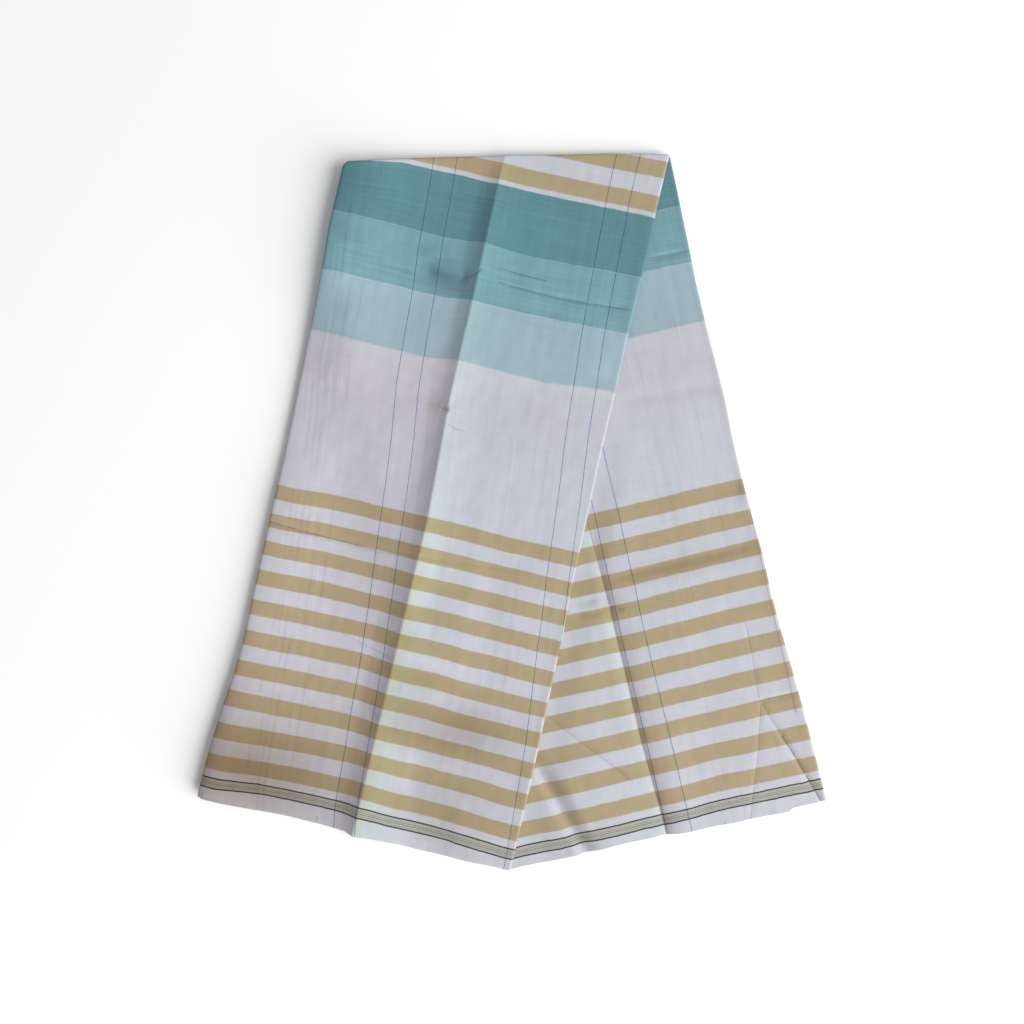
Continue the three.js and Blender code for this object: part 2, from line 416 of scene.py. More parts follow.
@dataclass
class SheetGrid:
    """A sheet as a grid of points, with its cloth coordinates, its tint with painted light and
    shade, and its lay with painted shade.
    """

    x: np.ndarray
    y: np.ndarray
    z: np.ndarray
    warp: np.ndarray
    weft: np.ndarray
    tint: np.ndarray
    lay: tuple[np.ndarray, np.ndarray, np.ndarray]
    thickness: float = 0.4
    sharp_angle: float = math.radians(70.0)

    def normals(self) -> np.ndarray:
        """Works out which way the sheet faces at each point.

        Returns:
            The unit normals of the grid.
        """
        points = np.stack([self.x, self.y, self.z], axis=-1)
        down = np.gradient(points, axis=0)
        over = np.gradient(points, axis=1)
        normal = np.cross(over, down)
        length = np.linalg.norm(normal, axis=-1, keepdims=True)
        return normal / np.maximum(length, LEAST_LENGTH)

    def build(self, name: str, facing: float) -> bpy.types.Object:
        """Makes the closed thin shell of the sheet.

        Args:
            name: the piece's name.
            facing: 1 or -1, the sign that turns the grid's normals outwards.

        Returns:
            The new object, in metres.
        """
        rows, columns = self.x.shape
        outer = np.stack([self.x, self.y, self.z], axis=-1)
        inner = outer - self.normals() * facing * self.thickness
        points = np.concatenate([outer.reshape(-1, 3), inner.reshape(-1, 3)]) * MM
        count = rows * columns
        number = np.arange(count).reshape(rows, columns)
        a, b = number[:-1, :-1].ravel(), number[:-1, 1:].ravel()
        c, d = number[1:, 1:].ravel(), number[1:, :-1].ravel()
        upper = np.stack([a, b, c, d], axis=1)
        lower = np.stack([d, c, b, a], axis=1) + count
        walk = np.concatenate(
            [number[0, :-1], number[:-1, -1], number[-1, :0:-1], number[:0:-1, 0]]
        )
        following = np.roll(walk, -1)
        rim = np.stack([walk, walk + count, following + count, following], axis=1)
        faces = np.concatenate([upper, lower, rim])
        if facing < 0:
            faces = faces[:, ::-1]
        mesh = bpy.data.meshes.new(name)
        mesh.from_pydata(points.tolist(), [], faces.tolist())
        mesh.update()
        across, along, painted_shade = self.lay
        self.tell(mesh, "cloth", self.warp * MM, self.weft * MM, self.tint)
        self.tell(mesh, "lay", across * MM, along * MM, painted_shade)
        mesh.polygons.foreach_set("use_smooth", np.ones(len(mesh.polygons), bool))
        mesh.set_sharp_from_angle(angle=self.sharp_angle)
        made = bpy.data.objects.new(name, mesh)
        bpy.context.collection.objects.link(made)
        return made

    def tell(self, mesh: bpy.types.Mesh, name: str, *values: np.ndarray) -> None:
        """Writes three values for each point, for the finish to read.

        Args:
            mesh: the sheet's mesh.
            name: the name that the finish reads them by.
            values: three grids of values.
        """
        layer = mesh.attributes.new(name, "FLOAT_VECTOR", "POINT")
        told = np.stack(values, axis=-1).reshape(-1, 3)
        layer.data.foreach_set("vector", np.concatenate([told, told]).astype(np.float32).ravel())


@dataclass(frozen=True)
class ShadePatch:
    """A soft patch of painted shade that darkens the cloth.

    A strength above 0 browns the cloth, and one below 0 only shades it.
    """

    centre: tuple[float, float]
    reach: tuple[float, float]
    strength: float

    def painted_shade(self, across: np.ndarray, along: np.ndarray) -> np.ndarray:
        """How much of the patch covers each point.

        Args:
            across: millimetres from the outer fold.
            along: millimetres down the leg.

        Returns:
            The patch's strength at each point.
        """
        a = (across - self.centre[0]) / self.reach[0]
        s = (along - self.centre[1]) / self.reach[1]
        return self.strength * np.exp(-(a * a + s * s))


@dataclass(frozen=True)
class Curl:
    """How the top sheet turns over its edges: a half-round nose and a run back underneath."""

    radius: float
    nose_steps: int = 9
    side_run: float = 34.0
    side_steps: int = 7
    top_run: float = 8.0
    top_steps: int = 3
    nose_length: float = 12.0

    def side(self, run: float, steps: int) -> tuple[np.ndarray, np.ndarray, np.ndarray]:
        """Stations from the hidden end of the run, round the nose, to the flat.

        Args:
            run: how far the sheet runs back under, in millimetres.
            steps: the number of stations on that run.

        Returns:
            The distance in from the edge, the share of full height, and the
            distance on the unrolled cloth, with 0 at the edge.
        """
        under = np.linspace(run + self.radius, self.radius, steps, endpoint=False)
        angle = np.linspace(math.pi, 0.0, self.nose_steps)
        distance = np.concatenate([under, self.radius * (1 - np.sin(angle))])
        share = np.concatenate([np.zeros(steps), (1 + np.cos(angle)) / 2])
        nose_end = self.radius - self.nose_length
        unrolled = np.concatenate(
            [nose_end - (under - self.radius), self.radius - self.nose_length * angle / math.pi]
        )
        return distance, share, unrolled


@dataclass(frozen=True)
class Lining:
    """One of the two hidden sheets of a leg.

    Its share is its height between what the leg lies on and the top sheet. Its sides
    stand in from the side folds by the inset, and it ends short of the top sheet's cut
    end by the setback. Its threads start across the cloth at the flip.
    """

    name: str
    share: float
    inset: float
    setback: float
    flip: float = 0.0


@dataclass
class Leg:
    """One leg of the folded strip: its top sheet, and the two sheets under it."""

    plan: LegPlan
    name: str
    creases: tuple[Crease, ...]
    swells: tuple[Swells, ...]
    weft_pull: tuple[tuple[float, tuple[float, ...]], ...]
    pull_across: tuple[float, ...]
    outer_skew: Table
    inner_skew: Table
    patches: tuple[ShadePatch, ...]
    column_pitch: Table
    row_pitch: Table
    curl: Curl
    skew_at: tuple[float, float] = (120.0, 345.0)
    skew_limits: tuple[float, float] = (-0.5, 1.3)
    cut_waves: tuple[tuple[float, float, float], ...] = ((0.4, 23.0, 0.0), (0.3, 9.0, 1.3))
    upper_rows: int = 30
    upper_end: float = 60.0
    least_height: float = 1.8
    hem_height: float = 0.9
    side_hem_lift: float = 0.5
    top_hem_lift: float = 0.9
    hem_loft: float = 0.3
    lining_grid: tuple[int, int] = (121, 71)
    lining_top_gap: float = 10.0
    lining_least_height: float = 0.55
    lining_wave: tuple[float, float, float] = (0.8, 31.0, 9.0)
    lining_tint: float = 0.5
    support: Support = field(default_factory=Support)

    def crown(self, across: np.ndarray, along: np.ndarray) -> np.ndarray:
        """The height of the top sheet over a flat stack, in millimetres."""
        raise NotImplementedError

    def rests_at(self, x: np.ndarray, y: np.ndarray) -> np.ndarray:
        """The height of what the leg lies on, in millimetres."""
        raise NotImplementedError

    def tint(self, across: np.ndarray, along: np.ndarray) -> np.ndarray:
        """How far the cloth's cast runs to lilac, or below 0 to green and below -1 to straw; part
        of the lilac is painted shade, and the green and straw are painted light.
        """
        raise NotImplementedError

    def loft(self, across: np.ndarray, along: np.ndarray) -> np.ndarray:
        """How far the fold nearest to each point springs up, in millimetres."""
        return np.zeros(across.shape)

    def relief(self, across: np.ndarray, along: np.ndarray) -> np.ndarray:
        """The small creases and swells together.

        Args:
            across: millimetres from the outer fold.
            along: millimetres down the leg.

        Returns:
            The height that they add, in millimetres.
        """
        drawn = self.plan.drawn(across, along)
        total = np.zeros(across.shape)
        for part in (*self.creases, *self.swells):
            total += part.lift(drawn, along)
        return total

    def lay(
        self, across: np.ndarray, along: np.ndarray
    ) -> tuple[np.ndarray, np.ndarray, np.ndarray]:
        """Where each point lies on the leg, and how much painted shade its patches give it.

        Args:
            across: millimetres from the outer fold.
            along: millimetres down the leg.

        Returns:
            Its places across and along, and its painted shade from -1 to 1.
        """
        drawn = self.plan.drawn(across, along)
        painted_shade = np.zeros(across.shape)
        for patch in self.patches:
            painted_shade += patch.painted_shade(drawn, along)
        return drawn, np.broadcast_to(along, across.shape), np.clip(painted_shade, -1.0, 1.0)

    def pull(self, across: np.ndarray, along: np.ndarray) -> np.ndarray:
        """How far the weft is pulled down the leg from where it was woven.

        Args:
            across: millimetres from the outer fold.
            along: millimetres down the leg.

        Returns:
            The pull in millimetres, below 0 where it lies higher up.
        """
        stations = np.array([row[0] for row in self.weft_pull])
        values = np.array([row[1] for row in self.weft_pull])
        row = np.interp(along, stations, np.arange(len(stations)))
        column = np.interp(across, self.pull_across, np.arange(len(self.pull_across)))
        r0 = np.clip(np.floor(row).astype(int), 0, values.shape[0] - 2)
        c0 = np.clip(np.floor(column).astype(int), 0, values.shape[1] - 2)
        fr, fc = row - r0, column - c0
        fc = smooth(fc, 0.0, 1.0)
        upper = values[r0, c0] * (1 - fc) + values[r0, c0 + 1] * fc
        lower = values[r0 + 1, c0] * (1 - fc) + values[r0 + 1, c0 + 1] * fc
        return upper * (1 - fr) + lower * fr

    def skew(self, across: np.ndarray, along: np.ndarray) -> np.ndarray:
        """How far the warp has moved across the leg from where it was woven.

        Args:
            across: millimetres from the outer fold.
            along: millimetres down the leg.

        Returns:
            The move in millimetres.
        """
        low, high = self.skew_at
        share = np.clip((across - low) / (high - low), *self.skew_limits)
        return read(self.outer_skew, along) * (1 - share) + read(self.inner_skew, along) * share

    def top_height(
        self, across: np.ndarray, along: np.ndarray, x: np.ndarray, y: np.ndarray
    ) -> np.ndarray:
        """The height of the top sheet clear of its curled edges.

        Args:
            across: millimetres from the outer fold.
            along: millimetres down the leg.
            x: the same points' places to the right on the floor.
            y: their places up the page.

        Returns:
            The height in millimetres.
        """
        rest = self.rests_at(x, y)
        height = rest + STACK_HEIGHT + self.crown(across, along) + self.relief(across, along)
        return np.maximum(height, rest + self.least_height)

    def top_sheet(self) -> bpy.types.Object:
        """Builds the sheet that shows, curled over both side folds and the top fold.

        Returns:
            The new object.
        """
        side, side_share, side_roll = self.curl.side(self.curl.side_run, self.curl.side_steps)
        top, top_share, top_roll = self.curl.side(self.curl.top_run, self.curl.top_steps)
        radius = self.curl.radius
        flat = spaced(radius, STRIP_WIDTH - radius, self.column_pitch)[1:-1]
        across = np.concatenate([side, flat, STRIP_WIDTH - side[::-1]])
        share_across = np.concatenate([side_share, np.ones(len(flat)), side_share[::-1]])
        rolled = np.concatenate([side_roll, flat, STRIP_WIDTH - side_roll[::-1]])
        body = spaced(self.upper_end, self.plan.length, self.row_pitch)
        rows = self.upper_rows + len(body) - 1
        across_grid = np.broadcast_to(across, (len(top) + rows, len(across)))
        start = self.plan.top_at(across_grid[:1])
        end = self.plan.length + self.cut_end(across_grid[:1])
        first = start + radius
        steps = np.linspace(0.0, 1.0, self.upper_rows + 1)[1:, None]
        upper = first + (self.upper_end - first) * steps
        stretch = (end - self.upper_end) / (self.plan.length - self.upper_end)
        lower = self.upper_end + (body[1:, None] - self.upper_end) * stretch
        along = np.concatenate([start + top[:, None], upper, lower])
        along_rolled = np.concatenate([start + top_roll[:, None], upper, lower])
        share_along = np.concatenate([top_share, np.ones(rows)])[:, None]
        across_soft, along_soft = self.round_corners(across_grid, along - start)
        x, y = self.plan.place(across_soft, along_soft + start)
        height = self.top_height(across_grid, along, x, y)
        rest = self.rests_at(x, y)
        loft = self.loft(across_grid, along)
        low = rest + self.hem_height + self.side_hem_lift * (1 - share_across)
        low = low + self.top_hem_lift * (1 - share_along) + self.hem_loft * loft
        low = low - (1 - share_along) * self.top_drop(x, y)
        z = low + (height - low) * share_across * share_along
        rolled_grid = np.broadcast_to(rolled, across_grid.shape)
        warp = rolled_grid - self.skew(rolled_grid, along)
        weft = along_rolled - self.pull(across_grid, along)
        tint = self.tint(across_grid, along)
        lay = self.lay(across_grid, along)
        grid = SheetGrid(x + FRAME_SHIFT[0], y + FRAME_SHIFT[1], z, warp, weft, tint, lay)
        return grid.build(f"{self.name}_top_sheet", self.plan.lean.value * -1.0)

    def cut_end(self, across: np.ndarray) -> np.ndarray:
        """How far the cut end runs past the leg's length, in millimetres."""
        waves = (high * np.sin(across / long + phase) for high, long, phase in self.cut_waves)
        return read(self.plan.cut_end, across) + sum(waves)

    def top_drop(self, x: np.ndarray, y: np.ndarray) -> np.ndarray:
        """How far the top fold reaches down past what the leg lies on."""
        return np.zeros(x.shape)

    def round_corners(self, across: np.ndarray, down: np.ndarray) -> tuple[np.ndarray, np.ndarray]:
        """Rounds the two upper corners of the outline.

        Args:
            across: millimetres from the outer fold.
            down: millimetres down from the top fold.

        Returns:
            Both, moved inwards near the corners.
        """
        moved_across, moved_down = across.copy(), down.copy()
        for mirrored, radius in zip((False, True), self.plan.corner_radii):
            from_side = STRIP_WIDTH - across if mirrored else across
            u, v = radius - from_side, radius - down
            corner = (u > 0) & (v > 0)
            scale = np.maximum(u, v) / np.maximum(np.hypot(u, v), LEAST_LENGTH)
            inside = radius - u * scale
            rounded = STRIP_WIDTH - inside if mirrored else inside
            moved_across = np.where(corner, rounded, moved_across)
            moved_down = np.where(corner, radius - v * scale, moved_down)
        return moved_across, moved_down

    def inner_sheet(self, lining: Lining) -> bpy.types.Object:
        """Builds one of the two sheets under the top one.

        Args:
            lining: which of them, and how it lies.

        Returns:
            The new object.
        """
        rows, columns = self.lining_grid
        across_line = np.linspace(lining.inset, STRIP_WIDTH - lining.inset, columns)
        across = np.broadcast_to(across_line, (rows, columns))
        start = self.plan.top_at(across) + self.lining_top_gap
        high, long, phase = self.lining_wave
        uneven = high * np.sin(across / long + lining.share * phase)
        end = self.plan.length - lining.setback + uneven
        along = start + (end - start) * np.linspace(0.0, 1.0, rows)[:, None]
        x, y = self.plan.place(across, along)
        rest = self.rests_at(x, y)
        height = self.top_height(across, along, x, y) - rest
        z = rest + np.maximum(height * lining.share, self.lining_least_height)
        warp = lining.flip - across
        weft = along - self.pull(across, along)
        tint = self.tint(across, along) * self.lining_tint
        lay = self.lay(across, along)
        grid = SheetGrid(x + FRAME_SHIFT[0], y + FRAME_SHIFT[1], z, warp, weft, tint, lay)
        return grid.build(lining.name, self.plan.lean.value * -1.0)


@dataclass
class FrontLeg(Leg):
    """The leg on the left, which lies over the back one and has the crease as a ridge."""

    ridge_path: Table = (
        (-60.0, 194.6), (94.8, 196.1), (262.9, 195.7), (416.5, 202.4), (823.3, 198.3)
    )
    ridge_height: Table = (
        (-60.0, 4.0),
        (-20.0, 5.0),
        (14.0, 7.4),
        (60.0, 7.6),
        (150.0, 6.9),
        (260.0, 7.6),
        (420.0, 9.0),
        (824.0, 9.6),
    )
    ridge_left: Table = ((-60.0, 26.0), (230.0, 28.0), (440.0, 35.0), (824.0, 37.0))
    ridge_right: Table = (
        (-60.0, 78.0), (300.0, 90.0), (440.0, 90.0), (560.0, 112.0), (824.0, 118.0)
    )
    ridge_power: tuple[float, float] = (2.0, 1.3)
    ridge_taper: tuple[float, float] = (0.6, 50.0)
    loft_table: Table = (
        (0.0, 15.0),
        (70.0, 13.0),
        (126.0, 12.0),
        (189.0, 9.5),
        (252.0, 8.2),
        (315.0, 7.0),
        (378.0, 8.0),
        (441.0, 10.5),
        (554.0, 10.5),
        (605.0, 11.5),
        (655.0, 13.0),
        (706.0, 13.0),
        (756.0, 15.0),
        (824.0, 14.0),
    )
    loft_reach: float = 72.0
    shoulder_table: Table = ((-100.0, 1.0), (250.0, 0.5), (640.0, 0.8), (720.0, 2.4), (824.0, 3.0))
    shoulder_reach: float = 7.0
    half_tint: float = 0.27
    half_tint_edge: float = 30.0
    half_tint_least: float = 0.1
    half_tint_grows: tuple[float, float] = (190.0, 240.0)
    # Painted shade in lilac on the ridge's shaded left flank, and painted light in green, turning
    # to straw further down, on its lit right flank
    ridge_painted_shade_and_light: tuple[float, float] = (0.42, -0.8)
    ridge_shade_and_light_reach: tuple[float, float] = (22.0, 26.0)
    painted_straw_gain: float = 1.3
    painted_straw_grows: tuple[float, float] = (350.0, 480.0)
    upper_tint: float = 0.27

    def loft(self, across: np.ndarray, along: np.ndarray) -> np.ndarray:
        """How far the outer fold springs up from the floor."""
        return read(self.loft_table, along) * np.exp(-((across / self.loft_reach) ** 2))

    def crown(self, across: np.ndarray, along: np.ndarray) -> np.ndarray:
        """The outer fold's spring and round shoulder, and the ridge of the packing crease.

        Args:
            across: millimetres from the outer fold.
            along: millimetres down the leg.

        Returns:
            The height over a flat stack, in millimetres.
        """
        from_line = self.plan.drawn(across, along) - read(self.ridge_path, along)
        left_power, right_power = self.ridge_power
        left = np.clip(1 + from_line / read(self.ridge_left, along), 0.0, 1.0) ** left_power
        right = np.clip(1 - from_line / read(self.ridge_right, along), 0.0, 1.0) ** right_power
        taper, taper_reach = self.ridge_taper
        rise = taper + (1 - taper) * smooth(along - self.plan.top_at(across), 0.0, taper_reach)
        ridge = read(self.ridge_height, along) * rise * np.where(from_line < 0, left, right)
        past_nose = np.clip(across - self.curl.radius, 0.0, None)
        shoulder = read(self.shoulder_table, along) * np.exp(-past_nose / self.shoulder_reach)
        return self.loft(across, along) + ridge - shoulder

    def rests_at(self, x: np.ndarray, y: np.ndarray) -> np.ndarray:
        """The height of the back leg and the tuck under each spot."""
        return self.support.height(x, y)

    def top_drop(self, x: np.ndarray, y: np.ndarray) -> np.ndarray:
        """How far the top fold reaches down to cover the edge of the tuck."""
        return self.support.on_tuck(x, y) * (TUCK_HEIGHT + REST_GAP)

    def tint(self, across: np.ndarray, along: np.ndarray) -> np.ndarray:
        """Lilac on the left half; beside the ridge, painted shade in lilac on its shaded left flank
        and painted light in green, then straw, on its lit right flank.

        Args:
            across: millimetres from the outer fold.
            along: millimetres down the leg.

        Returns:
            The tint: lilac above 0, green below it and straw below -1, the green and straw being
                painted light.
        """
        from_line = self.plan.drawn(across, along) - read(self.ridge_path, along)
        grown = smooth(along, *self.half_tint_grows)
        grown = self.half_tint_least + (1 - self.half_tint_least) * grown
        left_half = self.half_tint * smooth(-from_line, 0.0, self.half_tint_edge) * grown
        left, right = (
            tint * np.exp(-np.clip(away, 0.0, None) / reach)
            for away, tint, reach in zip(
                (-from_line, from_line), self.ridge_painted_shade_and_light, self.ridge_shade_and_light_reach
            )
        )
        right = right * (1 + self.painted_straw_gain * smooth(along, *self.painted_straw_grows))
        beside = np.where(from_line < 0, left, right)
        return left_half + beside + self.upper_tint * upper_white(along)


@dataclass
class BackLeg(Leg):
    """The leg on the right, which lies on the floor and has the crease as a valley."""

    valley_path: Table = ((438.0, 203.0), (530.0, 201.5), (710.0, 200.0), (833.0, 195.0))
    shoulder: tuple[float, float] = (4.2, 3.6)
    shoulder_rise: tuple[float, float] = (6.5, 11.0)
    shoulder_fall: tuple[float, float] = (80.0, 100.0)
    shoulder_shown: Table = ((-100.0, 0.0), (300.0, 0.0), (400.0, 0.8), (470.0, 1.0), (832.0, 1.0))
    clear_of_front: tuple[float, float] = (6.0, 40.0)
    even_tint: float = 0.05
    hollow_painted_shade: float = 0.5
    # Painted shade in lilac on the valley's shaded side, and painted light in green on its lit
    # facet
    hollow_shade_reach: float = 17.0
    facet_painted_light: float = -0.6
    facet_light_reach: float = 30.0
    valley_shade_light_grows: tuple[float, float] = (330.0, 470.0)
    upper_tint: float = 0.35

    def crown(self, across: np.ndarray, along: np.ndarray) -> np.ndarray:
        """The shoulders beside the valley of the packing crease, where they show.

        Args:
            across: millimetres from the outer fold.
            along: millimetres down the leg.

        Returns:
            The height over a flat stack, in millimetres.
        """
        x, y = self.plan.place(across, along)
        past_front = FRONT.beyond_inner_fold(x, y, FRONT.length)
        shown = smooth(past_front, *self.clear_of_front) * read(self.shoulder_shown, along)
        away = self.plan.drawn(across, along) - read(self.valley_path, along)
        right, left = (
            height * (1 - np.exp(-np.abs(away) / rise)) * np.exp(-np.abs(away) / fall)
            for height, rise, fall in zip(self.shoulder, self.shoulder_rise, self.shoulder_fall)
        )
        return shown * np.where(away < 0, right, left)

    def rests_at(self, x: np.ndarray, y: np.ndarray) -> np.ndarray:
        """The floor's height, as the leg lies flat on it."""
        return np.zeros(x.shape)

    def tint(self, across: np.ndarray, along: np.ndarray) -> np.ndarray:
        """Nearly even, with a lilac upper white, painted shade in lilac in the valley's hollow, and
        painted light in green on the lit facet left of the valley.

        Args:
            across: millimetres from the outer fold.
            along: millimetres down the leg.

        Returns:
            The tint: lilac above 0 and green below it.
        """
        away = read(self.valley_path, along) - self.plan.drawn(across, along)
        hollow = self.hollow_painted_shade * np.exp(-((away / self.hollow_shade_reach) ** 2))
        facet = self.facet_painted_light * np.exp(-np.abs(away) / self.facet_light_reach)
        beside = np.where(away > 0, hollow, facet) * smooth(along, *self.valley_shade_light_grows)
        return self.even_tint + beside + self.upper_tint * upper_white(along)


@dataclass(frozen=True)
class Tuck:
    """The pleat between the legs: two leaves joined by a fold at their lower end."""

    name: str = "top_tuck_sheet"
    base: float = STACK_HEIGHT + REST_GAP
    setback: float = 16.0
    columns: int = 60
    rows: int = 40
    turn_steps: int = 9
    turn_reach: float = 1.0
    turn_inset: float = 3.0
    thickness: float = 0.35
    weft_start: float = -520.0

    def build(self) -> bpy.types.Object:
        """Builds the pleat as one sheet.

        Returns:
            The new object.
        """
        turn = np.linspace(-math.pi / 2, math.pi / 2, self.turn_steps)
        run = np.linspace(0.0, 1.0, self.rows, endpoint=False)
        low_y = BACK.corner[1] - TUCK_DEPTH + self.turn_inset
        high_y = FRONT.corner[1] - self.setback
        leaf = high_y - (high_y - low_y) * run
        y_line = np.concatenate([leaf, low_y - self.turn_reach * np.cos(turn), leaf[::-1]])
        middle = self.base + TUCK_HEIGHT / 2
        half = TUCK_HEIGHT / 2 - self.thickness
        lower, upper = (np.full(self.rows, z) for z in (middle - half, middle + half))
        z_line = np.concatenate([lower, middle + half * np.sin(turn), upper])
        span = np.linspace(0.0, 1.0, self.columns)[None, :]
        left = self.side_x(BACK, y_line)[:, None] + TUCK_SIDE_SETBACK
        right = self.side_x(FRONT, y_line)[:, None] - TUCK_SIDE_SETBACK
        x = left + (right - left) * span
        y, z = (np.broadcast_to(line[:, None], x.shape) for line in (y_line, z_line))
        walked = np.cumsum(np.abs(np.gradient(y_line)) + np.abs(np.gradient(z_line)))
        weft = np.broadcast_to((walked + self.weft_start)[:, None], x.shape)
        warp = x - x.min()
        plain = np.zeros(x.shape)
        lay = (x, y, plain)
        x, y = x + FRAME_SHIFT[0], y + FRAME_SHIFT[1]
        grid = SheetGrid(x, y, z, warp, weft, plain, lay, self.thickness)
        return grid.build(self.name, 1.0)

    def side_x(self, plan: LegPlan, y: np.ndarray) -> np.ndarray:
        """Where a leg's inner fold lies at each height on the page."""
        along = (plan.corner[1] - STRIP_WIDTH * math.sin(LEG_TILT) - y) / math.cos(LEG_TILT)
        return plan.place(np.full(y.shape, STRIP_WIDTH), along)[0]


Place = tuple[float, float, float]


class Term:
    """A node socket that takes part in ordinary sums, each of which adds its Math node."""

    def __init__(self, bench: "NodeBench", socket: bpy.types.NodeSocket) -> None:
        """Wraps one output socket."""
        self.bench = bench
        self.socket = socket

    def math(self, operation: str, *others: "Term | float", clamp: bool = False) -> "Term":
        """One Math node with this value first."""
        return self.bench.math(operation, self, *others, clamp=clamp)

    def __add__(self, other: "Term | float") -> "Term":
        """This plus another value."""
        return self.math("ADD", other)

    __radd__ = __add__

    def __sub__(self, other: "Term | float") -> "Term":
        """This less another value."""
        return self.math("SUBTRACT", other)

    def __rsub__(self, other: float) -> "Term":
        """A number less this."""
        return self.bench.math("SUBTRACT", other, self)

    def __mul__(self, other: "Term | float") -> "Term":
        """This times another value."""
        return self.math("MULTIPLY", other)

    __rmul__ = __mul__

    def __truediv__(self, other: "Term | float") -> "Term":
        """This divided by another value."""
        return self.math("DIVIDE", other)

    def __rtruediv__(self, other: float) -> "Term":
        """A number divided by this."""
        return self.bench.math("DIVIDE", other, self)

    def __abs__(self) -> "Term":
        """The size of this value."""
        return self.math("ABSOLUTE")

    def clamped(self) -> "Term":
        """This kept between 0 and 1."""
        return self.math("ADD", 0.0, clamp=True)

    def fraction(self) -> "Term":
        """What is left of this above its whole number."""
        return self.math("FRACT")

    def sine(self) -> "Term":
        """The sine of this."""
        return self.math("SINE")

    def larger(self, other: "Term | float") -> "Term":
        """The larger of this and another value."""
        return self.math("MAXIMUM", other)

    def within(self, low: float, high: float, soft: float) -> "Term":
        """A mask that is 1 where this lies between two values.

        Args:
            low: the lower value.
            high: the upper value.
            soft: the width over which the mask rises and falls.

        Returns:
            The mask, from 0 to 1.
        """
        rise = ((self - (low - soft / 2)) * (1 / soft)).clamped()
        fall = (((high + soft / 2) - self) * (1 / soft)).clamped()
        return rise * fall


class NodeBench:
    """A material's node tree, with one method that adds any node."""

    def __init__(self, name: str) -> None:
        """Makes an empty material.

        Args:
            name: the material's name.
        """
        self.material = bpy.data.materials.new(name)
        self.material.use_nodes = True
        self.tree = self.material.node_tree
        self.tree.nodes.clear()

    def node(
        self,
        kind: str,
        settings: dict[str, object] | None = None,
        inputs: dict[str | int, object] | None = None,
        output: str | int | None = 0,
    ) -> Term | None:
        """Adds a node of any type.

        Args:
            kind: the node's type.
            settings: its own settings, which are set first.
            inputs: the values or links of its sockets, by name or number.
            output: the socket that the result is read from, if it has one.

        Returns:
            The chosen output.
        """
        made = self.tree.nodes.new(kind)
        for key, setting in (settings or {}).items():
            setattr(made, key, setting)
        for key, given in (inputs or {}).items():
            if isinstance(given, Term):
                self.tree.links.new(given.socket, made.inputs[key])
            else:
                made.inputs[key].default_value = given
        return None if output is None else Term(self, made.outputs[output])

    def attribute(self, name: str) -> tuple[Term, Term, Term]:
        """Reads the three values that a mesh tells the finish.

        Args:
            name: the name that the mesh tells them under.

        Returns:
            The values.
        """
        told = self.node("ShaderNodeAttribute", {"attribute_name": name}, output="Vector")
        parts = self.node("ShaderNodeSeparateXYZ", {}, {0: told}).socket.node.outputs
        return Term(self, parts[0]), Term(self, parts[1]), Term(self, parts[2])

    def finished(self, shader: Term) -> bpy.types.Material:
        """Links a shader to the material's output."""
        self.node("ShaderNodeOutputMaterial", {}, {0: shader}, None)
        return self.material

    def math(self, operation: str, *values: Term | float, clamp: bool = False) -> Term:
        """Adds a Math node on values in order, with a result from 0 to 1 where it clamps."""
        settings = {"operation": operation, "use_clamp": clamp}
        return self.node("ShaderNodeMath", settings, dict(enumerate(values)))

    def vector(self, x: Term | float, y: Term | float, z: Term | float = 0.0) -> Term:
        """Three values as one vector."""
        return self.node("ShaderNodeCombineXYZ", {}, {0: x, 1: y, 2: z})

    def vector_sum(self, operation: str, *others: object, output: str | int = 0) -> Term:
        """A Vector Math node on vectors, or on numbers where it takes them."""
        inputs = dict(enumerate(others))
        return self.node("ShaderNodeVectorMath", {"operation": operation}, inputs, output)

    def near_run(self, place: Term, start: Place, stop: Place, half: float, soft: float) -> Term:
        """A mask that is 1 along a straight run between two places.

        Args:
            place: where the surface point lies.
            start: one end of the run.
            stop: its other end.
            half: half the width of the full mask.
            soft: the width over which it falls to 0.

        Returns:
            The mask, from 0 to 1.
        """
        run = tuple(b - a for a, b in zip(start, stop))
        squared = sum(part * part for part in run)
        gone = self.vector_sum("SUBTRACT", place, start)
        share = (self.vector_sum("DOT_PRODUCT", gone, run, output="Value") / squared).clamped()
        reached = self.vector_sum("MULTIPLY", self.vector(share, share, share), run)
        away = self.vector_sum("DISTANCE", gone, reached, output="Value")
        return ((half + soft - away) * (1 / soft)).clamped()

    def noise(self, place: Term, detail: float) -> Term:
        """Noise from 0 to 1 at a place, in cells of one unit."""
        inputs = {"Vector": place, "Scale": 1.0, "Detail": detail}
        return self.node("ShaderNodeTexNoise", {"noise_dimensions": "3D"}, inputs)

    def mix(self, share: Term | float, first: object, second: object, blend: str = "MIX") -> Term:
        """Two colours mixed.

        Args:
            share: how much of the second shows.
            first: a colour or its link.
            second: a colour or its link.
            blend: the Mix node's way of mixing.

        Returns:
            The mixed colour.
        """
        settings = {"data_type": "RGBA", "blend_type": blend, "clamp_factor": True}
        # The colour sockets of a Mix node are its seventh and eighth
        return self.node("ShaderNodeMix", settings, {0: share, 6: first, 7: second}, 2)


